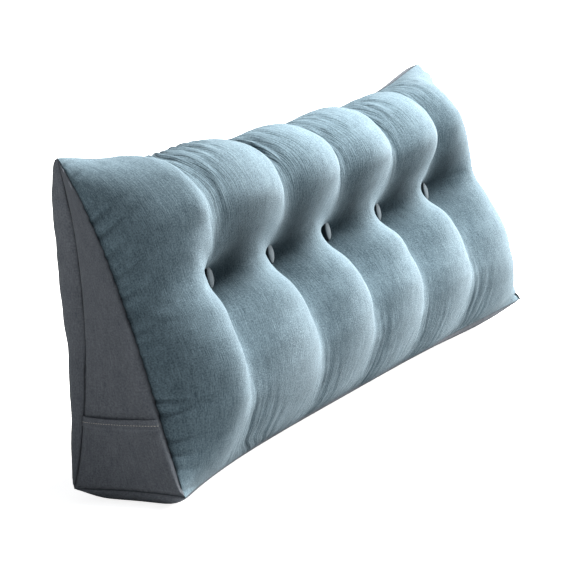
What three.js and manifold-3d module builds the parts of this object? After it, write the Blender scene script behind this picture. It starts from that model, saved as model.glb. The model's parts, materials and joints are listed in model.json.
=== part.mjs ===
// Triangular backrest cushion: a long wedge of filled cloth that stands on its narrow base.
// The front is tufted by five covered buttons, which part it into six lobes. The back, the
// base and the two ends are plain panels, and the left end carries a patch pocket.
// Millimetres, +Z up, +X along the length, -Y towards the person who leans on it.

import * as THREE from 'three';
import { mergeVertices } from 'three/addons/utils/BufferGeometryUtils.js';
import Module from 'manifold-3d';

const wasm = await Module();
wasm.setup();

// Driving sizes of the sewn cover.
const LENGTH = 1500;
const BUTTON_COUNT = 5;
const BUTTON_PITCH = 234.5;
const LOBE_COUNT = BUTTON_COUNT + 1;
const CLOTH = 2.0;
const CLOTH_GAP = 0.5;
const SEAM_GROOVE = 4.0;

// The corners where three seams meet, as they stand in the filled cushion: depth y, height z.
const CORNERS = {
  left: { front: { y: 7, z: 24 }, back: { y: 200, z: 22 }, tip: { y: 203, z: 530 } },
  right: { front: { y: -2, z: 42 }, back: { y: 200, z: 30 }, tip: { y: 212, z: 535 } },
};
// The long seams at mid length, drawn in from those corners, and how late they swing out.
const FRONT_SEAM = { y: 56, z: 18, late: 4 };
const BACK_SEAM = { y: 194, z: 26, late: 4 };
const RIDGE_SEAM = { y: 202, z: 481, late: 3.6 };

// How far the end seams pull in along the length, and how far the front one bows back.
const DRAW_IN_FRONT = 66;
const DRAW_IN_BACK = 64;
const DRAW_IN_BASE = 15;
const FRONT_SEAM_BOW = 78;
const BACK_CROWN = 60;
const END_CROWN = 20;
// How far the two ears' tips are rounded off and drop, over which share of the height and how
// late along the length.
const TIP = { round: 12, drop: 5, reach: 0.022, late: 40 };
// Where the right end is also filled out towards the front: at its ear and beside the buttons.
const RIGHT_FILLS = [
  { out: 18, girth: 0.91, spread: 0.05 },
  { out: 16, girth: 0.61, spread: 0.09 },
];
// How fully the end seams are drawn in: the higher, the straighter they leave the corners.
const DRAW_IN_FALL = { even: 0.75, rightEar: 1.25, rightFoot: 1.6 };
// How square the back's arch stands, and how late its bottom and the base turn up at the ends.
const BACK_ARCH = { power: 0.38, topHeavy: 0.15, late: 34 };
const BASE_LATE = { left: 60, right: 10 };

// Sections of the tufted front from its bottom seam over the ridge to the back seam, in equal
// steps of girth: over the middle of an inner lobe, down a valley between two buttons' lobes,
// and over an end lobe.
const SECTION = [
  { crestY: 56, crestZ: 18, valleyY: 56, valleyZ: 18, endY: 56, endZ: 18 },
  { crestY: 24, crestZ: 43, valleyY: 35, valleyZ: 45, endY: 22, endZ: 43 },
  { crestY: 2, crestZ: 81, valleyY: 19, valleyZ: 82, endY: 1, endZ: 78 },
  { crestY: -14, crestZ: 118, valleyY: 9, valleyZ: 116, endY: -12, endZ: 114 },
  { crestY: -23, crestZ: 156, valleyY: 9, valleyZ: 151, endY: -17, endZ: 153 },
  { crestY: -23, crestZ: 195, valleyY: 18, valleyZ: 187, endY: -15, endZ: 193 },
  { crestY: -11, crestZ: 234, valleyY: 36, valleyZ: 222, endY: -2, endZ: 232 },
  { crestY: 10, crestZ: 272, valleyY: 58, valleyZ: 256, endY: 16, endZ: 270 },
  { crestY: 53, crestZ: 303, valleyY: 74, valleyZ: 290, endY: 34, endZ: 304 },
  { crestY: 62, crestZ: 345, valleyY: 70, valleyZ: 326, endY: 42, endZ: 345 },
  { crestY: 39, crestZ: 387, valleyY: 62, valleyZ: 364, endY: 44, endZ: 386 },
  { crestY: 27, crestZ: 427, valleyY: 62, valleyZ: 402, endY: 52, endZ: 424 },
  { crestY: 45, crestZ: 464, valleyY: 77, valleyZ: 436, endY: 78, endZ: 457 },
  { crestY: 79, crestZ: 491, valleyY: 103, valleyZ: 458, endY: 108, endZ: 480 },
  { crestY: 121, crestZ: 503, valleyY: 134, valleyZ: 473, endY: 142, endZ: 491 },
  { crestY: 163, crestZ: 500, valleyY: 169, valleyZ: 482, endY: 175, endZ: 490 },
  { crestY: 202, crestZ: 481, valleyY: 202, valleyZ: 481, endY: 202, endZ: 481 },
];

// Where the button line lies on the girth, and how wide its pinch spreads over it.
const BUTTON_GIRTH = 0.515;
const PINCH_SPREAD = 0.1;
const VALLEY_SOFTNESS = 0.22;
// The funnel that each button draws round itself, on a front this long from seam to seam, and
// how far the pillows above sag over it.
const TUFT = { depth: 40, reach: 48, girth: 620, sag: 16, sagAt: 1.1, sagSpread: 0.2 };
// How much deeper the outermost valleys run above their buttons, from where on the girth, for
// how much of it, and how far along the length.
const UPPER_VALLEY = { left: -6, right: 30, from: 0.56, run: 0.4, spread: 0.22, inner: 1 / 3 };
// The end lobes: how steeply they leave the valley, and where they turn into the end's section.
const END_LOBE = { slope: 0.82, start: 0.02, reach: 0.2 };
// The left valley leans outwards away from its button.
const LEFT_VALLEY = { lean: 40, shift: 8, spread: 0.2 };

// Covered button: a domed disc with a rounded back, pulled into its own seat.
const BUTTON = { radius: 17.8, dome: 6, edge: 8, back: 4.5, stand: 5.5, sides: 20, clearance: 0.5, seat: 12 };
const BUTTON_TILT = THREE.MathUtils.degToRad(11);
const BUTTON_TURN = THREE.MathUtils.degToRad(14);
// The buttons aren't tied quite evenly: each one's shift along the length and up.
const BUTTON_SHIFT = [
  { x: 0, z: -6 },
  { x: -4, z: -1 },
  { x: 0, z: 0 },
  { x: -2, z: -2 },
  { x: 0, z: -6 },
];

// Patch pocket on the left end: its mouth's height as a share of the end, its hem and its gape.
const POCKET = { mouth: 0.205, hem: 0.026, hemCloth: 3.0, cloth: 1.6, gape: 2.5, gap: 0.5 };

const HALF = LENGTH / 2;
const OUTER_BUTTON = (BUTTON_COUNT - 1) / LOBE_COUNT;
const lerp = THREE.MathUtils.lerp;
const clamp01 = (value) => THREE.MathUtils.clamp(value, 0, 1);

// A smooth curve through one named column of evenly spaced rows.
function alongRows(rows, column, place) {
  const last = rows.length - 1;
  const k = Math.min(Math.floor(place * last), last - 1);
  const q = place * last - k;
  const value = (i) => rows[i][column];
  const slope = (i) => {
    if (i === 0) return value(1) - value(0);
    if (i === last) return value(last) - value(last - 1);
    return (value(i + 1) - value(i - 1)) / 2;
  };
  const q2 = q * q;
  const q3 = q2 * q;
  return (2 * q3 - 3 * q2 + 1) * value(k) + (q3 - 2 * q2 + q) * slope(k)
    + (3 * q2 - 2 * q3) * value(k + 1) + (q3 - q2) * slope(k + 1);
}

// Zero at both ends of a seam and one at its middle.
const bell = (t, power = DRAW_IN_FALL.even) => Math.pow(clamp01(4 * t * (1 - t)), power);

// Zero below nought, one above one, and smooth between.
const smooth = (t) => THREE.MathUtils.smoothstep(t, 0, 1);

// A long seam at the place a along the length, from -1 at the left end to 1 at the right.
function longSeam(seam, corner, a) {
  const share = Math.pow(Math.abs(a), seam.late);
  const end = CORNERS[a < 0 ? 'left' : 'right'][corner];
  return { y: lerp(seam.y, end.y, share), z: lerp(seam.z, end.z, share) };
}

// Length position: even lobes in the middle, and ears that reach the corners at the ends.
function lengthAt(a, drawIn) {
  const out = Math.pow(clamp01((Math.abs(a) - 0.5) / 0.5), 1.6);
  const even = (LOBE_COUNT / 2) * BUTTON_PITCH;
  return even * a + Math.sign(a) * out * (HALF - even - drawIn);
}

// Zero in a valley and one on a lobe's crest. The end lobes run out level to the end seam.
function acrossLobe(a) {
  const away = Math.abs(a);
  if (away > OUTER_BUTTON) return clamp01((away - OUTER_BUTTON) * LOBE_COUNT * END_LOBE.slope);
  const turn = a * (LOBE_COUNT / 2) + 0.5;
  return 2 * Math.abs(turn - Math.floor(turn) - 0.5);
}

// A lobe's rise: round and full away from the buttons, a soft funnel beside them.
function lobeRise(a, girth) {
  const s = acrossLobe(a);
  const soft = VALLEY_SOFTNESS;
  const rounded = (Math.hypot(s, soft) - soft) / (Math.hypot(1, soft) - soft);
  const full = Math.pow(1 - Math.pow(1 - rounded, 2.2), 0.95);
  const funnel = (1 - Math.cos(Math.PI * Math.pow(s, 0.95))) / 2;
  const pinch = Math.exp(-(((girth - BUTTON_GIRTH) / PINCH_SPREAD) ** 2));
  return lerp(full, funnel, pinch);
}

// The front's roll-off at the two ends: one inside, zero on the end seam.
function endRoll(a, girth) {
  const high = THREE.MathUtils.smoothstep(girth, 0.25, 0.75);
  const start = 0.8 - 0.08 * high;
  const q = clamp01((Math.abs(a) - start) / (1 - start));
  return Math.pow(1 - Math.pow(q, 2.3), 0.55 + 0.1 * high);
}

// Zero on the front's two long seams and one a little away from them.
const offSeam = (girth) => smooth(Math.min(girth, 1 - girth) / 0.08);

// How near a place is to a button, one at the button itself.
function nearButton(a, girth) {
  const up = ((girth - BUTTON_GIRTH) * TUFT.girth) / TUFT.reach;
  let near = 0;
  for (let index = 0; index < BUTTON_COUNT; index += 1) {
    const middle = ((index - (BUTTON_COUNT - 1) / 2) * 2) / LOBE_COUNT;
    const along = ((a - middle) * (LOBE_COUNT / 2) * BUTTON_PITCH) / TUFT.reach;
    near = Math.max(near, 1 / (1 + along * along + up * up));
  }
  return near;
}

// How far the cloth is drawn in round the buttons and along the outermost upper valleys.
function drawnIn(a, girth, rise) {
  const away = Math.abs(a);
  const { inner, spread, from, run } = UPPER_VALLEY;
  const outer = smooth((away - inner) / inner) * (1 - smooth((away - OUTER_BUTTON) / spread));
  const high = clamp01((girth - from) / run);
  const most = a > 0 ? UPPER_VALLEY.right : UPPER_VALLEY.left;
  const deeper = most * outer * (1 - rise) * Math.pow(Math.sin(Math.PI * high), 1.5);
  return (TUFT.depth * nearButton(a, girth) + deeper) * offSeam(girth);
}

// How far the pillows above the buttons sag over them.
function pillowSag(a, girth) {
  const above = Math.max(0, ((girth - BUTTON_GIRTH) * TUFT.girth) / TUFT.reach) / TUFT.sagAt;
  const fade = Math.exp(-(((girth - BUTTON_GIRTH) / TUFT.sagSpread) ** 2));
  return TUFT.sag * fade * Math.sqrt(nearButton(a, girth)) * above * Math.exp(1 - above) * offSeam(girth);
}

// One at an ear's tip and zero away from it.
const nearTip = (a, toTip) => Math.exp(-toTip / TIP.reach) * Math.pow(Math.abs(a), TIP.late);

// How far the front's end seams swing back between their corners.
function seamBow(a, girth) {
  const swing = a > 0 ? 1.35 * girth : Math.pow(girth, 0.55);
  const bow = FRONT_SEAM_BOW * swing * Math.pow(1 - girth, 1.3);
  const fills = a > 0 ? RIGHT_FILLS : [];
  const filled = fills.reduce((sum, { out, girth: middle, spread }) => (
    sum + out * Math.exp(-(((girth - middle) / spread) ** 2))
  ), 0);
  return (bow - filled * offSeam(girth)) * Math.pow(Math.abs(a), 8);
}

// How far the left valley lies towards the left end.
function leftLean(a, girth) {
  const away = smooth(Math.abs(girth - BUTTON_GIRTH) / 0.2);
  const near = offSeam(girth) * Math.exp(-(((a + OUTER_BUTTON) / LEFT_VALLEY.spread) ** 2));
  return (LEFT_VALLEY.lean * away + LEFT_VALLEY.shift) * near;
}

// A point of the tufted front: girth 0 on its bottom seam, 1 on the ridge seam.
function frontPoint(a, girth) {
  const rise = lobeRise(a, girth);
  const outward = smooth((Math.abs(a) - OUTER_BUTTON - END_LOBE.start) / END_LOBE.reach);
  const section = (axis) => lerp(
    alongRows(SECTION, `valley${axis}`, girth),
    lerp(alongRows(SECTION, `crest${axis}`, girth), alongRows(SECTION, `end${axis}`, girth), outward),
    rise,
  );
  const low = longSeam(FRONT_SEAM, 'front', a);
  const high = longSeam(RIDGE_SEAM, 'tip', a);
  const roll = endRoll(a, girth);
  const tip = nearTip(a, 1 - girth);
  const rightFall = girth > 0.5 ? DRAW_IN_FALL.rightEar : DRAW_IN_FALL.rightFoot;
  const fall = a > 0 ? rightFall : DRAW_IN_FALL.even;
  const depth = section('Y') + drawnIn(a, girth, rise) - lerp(FRONT_SEAM.y, RIDGE_SEAM.y, girth);
  const height = section('Z') - pillowSag(a, girth) - lerp(FRONT_SEAM.z, RIDGE_SEAM.z, girth);
  return new THREE.Vector3(
    lengthAt(a, DRAW_IN_FRONT * bell(girth, fall) + TIP.round * tip) - leftLean(a, girth) * roll,
    lerp(low.y, high.y, girth) + seamBow(a, girth) + depth * roll,
    lerp(low.z, high.z, girth) - TIP.drop * tip + height * roll,
  );
}

// A point of the back: drop 0 on the ridge seam, 1 on the back's bottom seam.
function backPoint(a, drop) {
  const high = longSeam(RIDGE_SEAM, 'tip', a);
  const low = longSeam(BACK_SEAM, 'back', a);
  const { power, topHeavy, late } = BACK_ARCH;
  const roll = Math.sqrt(1 - Math.pow(Math.abs(a), late));
  const arch = drop > 0 && drop < 1 ? Math.pow(Math.sin(Math.PI * drop), power) : 0;
  const crown = BACK_CROWN * arch * (1 + topHeavy * Math.cos(Math.PI * drop));
  const tip = nearTip(a, drop);
  return new THREE.Vector3(
    lengthAt(a, DRAW_IN_BACK * bell(drop) + TIP.round * tip),
    lerp(high.y, low.y, drop) + crown * roll,
    lerp(high.z, low.z, drop) - TIP.drop * tip,
  );
}

// A point of the base: across 0 on the back's bottom seam, 1 on the front's. It lies flat on
// the floor inside and rises to the seams all round.
function basePoint(a, across) {
  const back = longSeam(BACK_SEAM, 'back', a);
  const front = longSeam(FRONT_SEAM, 'front', a);
  const late = a > 0 ? BASE_LATE.right : BASE_LATE.left;
  const roll = Math.min(1, 1.02 * Math.sqrt(1 - Math.pow(Math.abs(a), late)));
  const rise = Math.pow(1 - Math.min(1, 1.3 * Math.sin(Math.PI * across)), 2.2);
  const onSeam = across === 0 || across === 1;
  const height = lerp(back.z, front.z, across) * (1 - (onSeam ? 0 : (1 - rise) * roll));
  return new THREE.Vector3(
    lengthAt(a, DRAW_IN_BASE * bell(across)),
    lerp(back.y, front.y, across),
    height,
  );
}

// A point of an end panel: height 0 on its bottom seam, 1 at the tip, across from front to back.
function endPoint(side, height, across) {
  const point = frontPoint(side, height).lerp(backPoint(side, 1 - height), across);
  const straight = frontPoint(side, 0).lerp(backPoint(side, 1), across);
  const hang = basePoint(side, 1 - across).sub(straight);
  point.addScaledVector(hang, Math.pow(1 - height, 6));
  const crown = Math.pow(clamp01(4 * across * (1 - across)), 0.6)
    * Math.pow(Math.max(0, Math.sin(Math.PI * Math.pow(height, 0.8))), 0.8);
  point.x += side * END_CROWN * crown;
  return point;
}

// Stations along the length, closer at the valleys and at the end seams.
const INNER_STEPS = [0, 0.1, 0.22, 0.38, 0.58, 0.8, 1];
const END_STEPS = [0, 0.05, 0.11, 0.19, 0.29, 0.41, 0.54, 0.67, 0.79, 0.88, 0.945, 0.985, 0.9994, 1];
const BACK_STEPS = [0, 0.008, 0.035, 0.1, 0.2, 0.35, 0.5, 0.65, 0.8, 0.9, 0.965, 0.992, 1];
const BASE_STEPS = [0, 0.02, 0.07, 0.15, 0.28, 0.72, 0.85, 0.93, 0.98, 1];
const END_HEIGHTS = [0.012, 0.05, 0.1, 0.15, 0.179, 0.205, 0.3, 0.42, 0.55, 0.68, 0.8, 0.9, 0.95];
const END_ACROSS = [0, 0.08, 0.25, 0.5, 0.75, 0.92, 1];
const GIRTH_STEPS_EACH_WAY = 11;

function lengthStations() {
  const inner = [];
  for (let lobe = 0; lobe < LOBE_COUNT - 2; lobe += 1) {
    const start = -OUTER_BUTTON + (lobe * 2) / LOBE_COUNT;
    for (const s of INNER_STEPS) inner.push(start + s / LOBE_COUNT);
    for (const s of INNER_STEPS.slice(0, -1).reverse()) inner.push(start + (2 - s) / LOBE_COUNT);
  }
  const outer = END_STEPS.map((step) => OUTER_BUTTON + (1 - OUTER_BUTTON) * step);
  const all = [...outer.map((a) => -a).reverse(), ...inner, ...outer];
  return all.filter((a, i) => i === 0 || a - all[i - 1] > 1e-6);
}

function girthStations() {
  const ease = (k) => (1 - Math.cos((Math.PI * k) / GIRTH_STEPS_EACH_WAY)) / 2;
  const steps = Array.from({ length: GIRTH_STEPS_EACH_WAY + 1 }, (_, k) => ease(k));
  const below = steps.map((e) => BUTTON_GIRTH * e);
  const above = steps.slice(1).map((e) => BUTTON_GIRTH + (1 - BUTTON_GIRTH) * e);
  return [...below, ...above];
}

const gridOf = (columns, rows, pointAt) => columns.map((c) => rows.map((r) => pointAt(c, r)));

// A copy of a grid moved along its own normals. A positive distance is towards turn.
function offsetGrid(grid, distance, turn) {
  const lastColumn = grid.length - 1;
  const lastRow = grid[0].length - 1;
  const along = new THREE.Vector3();
  const up = new THREE.Vector3();
  return grid.map((column, i) => column.map((point, j) => {
    along.subVectors(grid[Math.min(i + 1, lastColumn)][j], grid[Math.max(i - 1, 0)][j]);
    up.subVectors(grid[i][Math.min(j + 1, lastRow)], grid[i][Math.max(j - 1, 0)]);
    const normal = along.cross(up).normalize();
    return point.clone().addScaledVector(normal, distance * turn);
  }));
}

const innerPart = (grid) => grid.slice(1, -1).map((column) => column.slice(1, -1));

// Collects the triangles of one closed surface.
class Skin {
  constructor() {
    this.corners = [];
  }

  triangle(p, q, r) {
    this.corners.push(p, q, r);
  }

  quad(p, q, r, s) {
    if (p.distanceToSquared(r) < q.distanceToSquared(s)) {
      this.triangle(p, q, r);
      this.triangle(p, r, s);
    } else {
      this.triangle(p, q, s);
      this.triangle(q, r, s);
    }
  }

  grid(grid, turn) {
    for (let i = 0; i + 1 < grid.length; i += 1) {
      for (let j = 0; j + 1 < grid[0].length; j += 1) {
        const around = [grid[i][j], grid[i + 1][j], grid[i + 1][j + 1], grid[i][j + 1]];
        this.quad(...(turn > 0 ? around : around.reverse()));
      }
    }
  }

  // A strip between two closed loops that start side by side and run the same way.
  zip(outer, inner, turn) {
    let i = 0;
    let j = 0;
    while (i < outer.length || j < inner.length) {
      const a = outer[i % outer.length];
      const b = inner[j % inner.length];
      const nextA = outer[(i + 1) % outer.length];
      const nextB = inner[(j + 1) % inner.length];
      const stepOuter = j >= inner.length
        || (i < outer.length && nextA.distanceToSquared(b) <= a.distanceToSquared(nextB));
      const corner = stepOuter ? [a, nextA, b] : [a, nextB, b];
      if (turn < 0) corner.reverse();
      this.triangle(...corner);
      if (stepOuter) i += 1;
      else j += 1;
    }
  }

  geometry() {
    const flat = this.corners.flatMap((point) => [point.x, point.y, point.z]);
    const loose = new THREE.BufferGeometry();
    loose.setAttribute('position', new THREE.Float32BufferAttribute(flat, 3));
    return withoutSlivers(mergeVertices(loose, 1e-3));
  }
}

// Triangles with two corners merged into one are dropped.
function withoutSlivers(geometry) {
  const kept = [];
  const index = geometry.index.array;
  for (let t = 0; t < index.length; t += 3) {
    const [p, q, r] = [index[t], index[t + 1], index[t + 2]];
    if (p !== q && q !== r && r !== p) kept.push(p, q, r);
  }
  geometry.setIndex(kept);
  return geometry;
}

// The loop round a grid: first row forwards, last column, last row backwards, first column.
function rimOf(grid) {
  const lastColumn = grid.length - 1;
  const lastRow = grid[0].length - 1;
  const rim = [];
  for (let i = 0; i < lastColumn; i += 1) rim.push(grid[i][0]);
  for (let j = 0; j < lastRow; j += 1) rim.push(grid[lastColumn][j]);
  for (let i = lastColumn; i > 0; i -= 1) rim.push(grid[i][lastRow]);
  for (let j = lastRow; j > 0; j -= 1) rim.push(grid[0][j]);
  return rim;
}

// A sheet of cloth between an outer and an inner grid.
function sheetGeometry(outer, inner, turn) {
  const skin = new Skin();
  skin.grid(outer, turn);
  skin.grid(inner, -turn);
  const rimOut = rimOf(outer);
  const rimIn = rimOf(inner);
  rimOut.forEach((point, k) => {
    const next = (k + 1) % rimOut.length;
    const around = [point, rimIn[k], rimIn[next], rimOut[next]];
    skin.quad(...(turn > 0 ? around : around.reverse()));
  });
  return skin.geometry();
}

const columns = lengthStations();
const girths = girthStations();
const frontGrid = gridOf(columns, girths, frontPoint);
const backGrid = gridOf(columns, BACK_STEPS, backPoint);
const baseGrid = gridOf(columns, BASE_STEPS, basePoint);

// The end panel's grid, set in from its three seams by the groove.
function endGrid(side) {
  return END_HEIGHTS.map((height) => {
    const width = endPoint(side, height, 0).distanceTo(endPoint(side, height, 1));
    const inset = SEAM_GROOVE / width;
    return END_ACROSS.map((across) => endPoint(side, height, lerp(inset, 1 - inset, across)));
  });
}

// A panel's grid with the filling under it set back by the cloth, but for the seams themselves.
function underCloth(grid, turn) {
  const sunk = offsetGrid(grid, -(CLOTH + CLOTH_GAP), turn);
  const last = { i: grid.length - 1, j: grid[0].length - 1 };
  return grid.map((column, i) => column.map((point, j) => {
    const onSeam = i === 0 || j === 0 || i === last.i || j === last.j;
    return onSeam ? point : sunk[i][j];
  }));
}

// The seams round one end: up the front, down the back and forward along the base.
function endSeams(side) {
  const a = side;
  const up = girths.map((girth) => frontPoint(a, girth));
  const down = BACK_STEPS.slice(1).map((drop) => backPoint(a, drop));
  const forward = BASE_STEPS.slice(1, -1).map((across) => basePoint(a, across));
  return [...up, ...down, ...forward];
}

// Up the front edge, over the top, down the back edge and forward along the bottom.
function endRim(grid) {
  const top = grid.length - 1;
  const back = grid[0].length - 1;
  const rim = [];
  for (let k = 0; k < top; k += 1) rim.push(grid[k][0]);
  for (let k = 0; k < back; k += 1) rim.push(grid[top][k]);
  for (let k = top; k > 0; k -= 1) rim.push(grid[k][back]);
  for (let k = back; k > 0; k -= 1) rim.push(grid[0][k]);
  return rim;
}

const toManifold = (geometry) => {
  const bare = new THREE.BufferGeometry();
  bare.setAttribute('position', geometry.getAttribute('position').clone());
  if (geometry.index) bare.setIndex(Array.from(geometry.index.array));
  const merged = mergeVertices(bare, 1e-4);
  return new wasm.Manifold(new wasm.Mesh({
    numProp: 3,
    vertProperties: Float32Array.from(merged.getAttribute('position').array),
    triVerts: Uint32Array.from(merged.index.array),
  }));
};

const fromManifold = (solid) => {
  const mesh = solid.getMesh();
  const geometry = new THREE.BufferGeometry();
  geometry.setAttribute('position', new THREE.Float32BufferAttribute(mesh.vertProperties, 3));
  geometry.setIndex(Array.from(mesh.triVerts));
  return geometry;
};

// A button's place: on its valley, with its dome facing along the front's slope.
function buttonFrame(index) {
  const a = ((index - (BUTTON_COUNT - 1) / 2) * 2) / LOBE_COUNT;
  const shift = BUTTON_SHIFT[index];
  const seat = frontPoint(a, BUTTON_GIRTH);
  const place = new THREE.Matrix4().makeRotationX(Math.PI / 2 - BUTTON_TILT);
  place.premultiply(new THREE.Matrix4().makeRotationZ(BUTTON_TURN));
  place.setPosition(seat.x + shift.x, seat.y + shift.z * Math.sin(BUTTON_TILT), seat.z + shift.z);
  return place.multiply(new THREE.Matrix4().makeTranslation(0, 0, BUTTON.stand));
}

const turned = (profile, sides) => new THREE.LatheGeometry(
  profile.map(([radius, height]) => new THREE.Vector2(radius, height)),
  sides,
).rotateX(Math.PI / 2);

function buttonGeometry() {
  const { radius, dome, edge, back, sides } = BUTTON;
  const steps = [0.25, 0.5, 0.75, 0.92];
  const domed = steps.map((q) => [radius * q, edge + dome * Math.sqrt(1 - q * q)]);
  const under = [[0, -back], [radius * 0.6, -back * 0.65], [radius * 0.92, 0]];
  const rim = [[radius, edge * 0.2], [radius, edge]];
  return turned([...under, ...rim, ...domed.reverse(), [0, edge + dome]], sides);
}

// The room that a button takes out of the filling, opening outwards.
function buttonRoom() {
  const { radius, clearance, back, sides, seat } = BUTTON;
  const wide = radius + clearance;
  const under = [[0, -back - clearance], [wide * 0.6, -back * 0.65 - clearance], [wide * 0.92, -clearance]];
  const mouth = [[wide, clearance], [wide, seat], [wide * 2.2, seat * 3.5], [0, seat * 3.5]];
  return turned([...under, ...mouth], sides);
}

function bodyGeometry() {
  const skin = new Skin();
  skin.grid(frontGrid, 1);
  skin.grid(underCloth(backGrid, 1), 1);
  skin.grid(underCloth(baseGrid, 1), 1);
  for (const side of [-1, 1]) {
    const sunk = offsetGrid(endGrid(side), -(CLOTH + CLOTH_GAP), -side);
    skin.grid(sunk, -side);
    skin.zip(endSeams(side), endRim(sunk), -side);
  }
  let body = toManifold(skin.geometry());
  for (let index = 0; index < BUTTON_COUNT; index += 1) {
    const room = buttonRoom().applyMatrix4(buttonFrame(index));
    body = body.subtract(toManifold(room));
  }
  return fromManifold(body);
}

function panelGeometry(grid) {
  const outer = innerPart(grid);
  const inner = innerPart(offsetGrid(grid, -CLOTH, 1));
  return sheetGeometry(outer, inner, 1);
}

function endPanelGeometry(side) {
  const outer = endGrid(side);
  return sheetGeometry(outer, offsetGrid(outer, -CLOTH, -side), -side);
}

// The pocket lies on the end panel. Its mouth gapes a little, and its hem is doubled.
function pocketGeometry() {
  const side = -1;
  const panel = endGrid(side).filter((_, row) => END_HEIGHTS[row] <= POCKET.mouth + 1e-6);
  const heights = END_HEIGHTS.filter((height) => height <= POCKET.mouth + 1e-6);
  const stand = (row, across) => {
    const up = clamp01(heights[row] / POCKET.mouth);
    return POCKET.gap + POCKET.gape * up * up * Math.sin(Math.PI * across);
  };
  const layer = (extra) => {
    const raised = offsetGrid(panel, 1, -side);
    return panel.map((points, row) => points.map((point, column) => {
      const normal = raised[row][column].clone().sub(point);
      const across = END_ACROSS[column];
      return point.clone().addScaledVector(normal, stand(row, across) + extra(heights[row]));
    }));
  };
  const hemStart = POCKET.mouth - POCKET.hem;
  const outer = layer((height) => (height >= hemStart - 1e-6 ? POCKET.hemCloth : POCKET.cloth));
  return sheetGeometry(outer, layer(() => 0), -side);
}

// Cloth finishes: the same slate blue throughout, the buttons a little greyer.
const finish = (color, roughness) => new THREE.MeshStandardMaterial({ color, roughness, metalness: 0 });
const linen = finish(0x7b8f9b, 0.92);
const plainCloth = finish(0x5f6b76, 0.94);
const buttonCloth = finish(0x7a868f, 0.85);

function piece(name, geometry, material) {
  geometry.computeVertexNormals();
  const mesh = new THREE.Mesh(geometry, material.clone());
  mesh.name = name;
  return mesh;
}

const cushion = new THREE.Group();
cushion.add(piece('cushion_body', bodyGeometry(), linen));
cushion.add(piece('back_panel', panelGeometry(backGrid), plainCloth));
cushion.add(piece('base_panel', panelGeometry(baseGrid), plainCloth));
cushion.add(piece('end_panel_left', endPanelGeometry(-1), plainCloth));
cushion.add(piece('end_panel_right', endPanelGeometry(1), plainCloth));
cushion.add(piece('side_pocket', pocketGeometry(), plainCloth));
for (let index = 0; index < BUTTON_COUNT; index += 1) {
  const button = piece(`button_${index + 1}`, buttonGeometry(), buttonCloth);
  button.applyMatrix4(buttonFrame(index));
  cushion.add(button);
}

// The origin is on the floor under the middle of the whole cushion.
cushion.updateMatrixWorld(true);
const middle = new THREE.Box3().setFromObject(cushion, true).getCenter(new THREE.Vector3());
cushion.position.set(-middle.x, -middle.y, 0);

export default cushion;
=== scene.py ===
"""Looks of a triangular backrest cushion: filled cloth, covered buttons and a patch pocket.

Everything is in metres in the row frame: +X along the cushion, -Y towards the person who
leans on it, +Z up. The cushion is cut, filled and creased on one grid that follows its seams.
"""

from __future__ import annotations

import json
import logging
import math
from collections.abc import Sequence
from dataclasses import dataclass, field
from enum import Enum
from typing import NamedTuple

import bmesh
import bpy
import numpy as np
from mathutils import Matrix, Vector

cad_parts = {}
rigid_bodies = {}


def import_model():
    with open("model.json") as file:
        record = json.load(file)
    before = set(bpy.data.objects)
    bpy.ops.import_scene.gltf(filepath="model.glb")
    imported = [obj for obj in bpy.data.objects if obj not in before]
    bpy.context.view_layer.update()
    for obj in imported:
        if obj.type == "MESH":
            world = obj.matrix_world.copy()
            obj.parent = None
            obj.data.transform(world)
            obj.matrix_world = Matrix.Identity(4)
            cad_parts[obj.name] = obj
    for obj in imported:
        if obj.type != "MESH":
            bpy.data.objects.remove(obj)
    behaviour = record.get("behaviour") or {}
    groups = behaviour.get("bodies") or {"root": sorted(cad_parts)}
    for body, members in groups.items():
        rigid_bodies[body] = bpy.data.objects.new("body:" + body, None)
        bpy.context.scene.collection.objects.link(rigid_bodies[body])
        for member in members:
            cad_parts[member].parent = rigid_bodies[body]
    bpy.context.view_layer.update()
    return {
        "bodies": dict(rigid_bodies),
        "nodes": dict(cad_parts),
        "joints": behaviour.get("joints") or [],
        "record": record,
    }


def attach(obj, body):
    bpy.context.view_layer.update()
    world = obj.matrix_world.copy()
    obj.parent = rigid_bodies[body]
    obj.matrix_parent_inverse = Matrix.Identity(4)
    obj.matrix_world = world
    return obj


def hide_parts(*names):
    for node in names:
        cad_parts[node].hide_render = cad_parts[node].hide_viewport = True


LOG = logging.getLogger("cushion")
Array = np.ndarray


class Section(NamedTuple):
    """One place on the front's girth: depth and height of a crest, a valley and an end lobe."""

    crest_y: float
    crest_z: float
    valley_y: float
    valley_z: float
    end_y: float
    end_z: float


SECTIONS: tuple[Section, ...] = (
    Section(0.056, 0.018, 0.056, 0.018, 0.056, 0.018),
    Section(0.024, 0.043, 0.035, 0.045, 0.022, 0.043),
    Section(0.002, 0.081, 0.019, 0.082, 0.001, 0.078),
    Section(-0.014, 0.118, 0.009, 0.116, -0.012, 0.114),
    Section(-0.023, 0.156, 0.009, 0.151, -0.017, 0.153),
    Section(-0.023, 0.195, 0.018, 0.187, -0.015, 0.193),
    Section(-0.011, 0.234, 0.036, 0.222, -0.002, 0.232),
    Section(0.010, 0.272, 0.058, 0.256, 0.016, 0.270),
    Section(0.053, 0.303, 0.074, 0.290, 0.034, 0.304),
    Section(0.062, 0.345, 0.070, 0.326, 0.042, 0.345),
    Section(0.039, 0.387, 0.062, 0.364, 0.044, 0.386),
    Section(0.027, 0.427, 0.062, 0.402, 0.052, 0.424),
    Section(0.045, 0.464, 0.077, 0.436, 0.078, 0.457),
    Section(0.079, 0.491, 0.103, 0.458, 0.108, 0.480),
    Section(0.121, 0.503, 0.134, 0.473, 0.142, 0.491),
    Section(0.163, 0.500, 0.169, 0.482, 0.175, 0.490),
    Section(0.202, 0.481, 0.202, 0.481, 0.202, 0.481),
)


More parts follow.
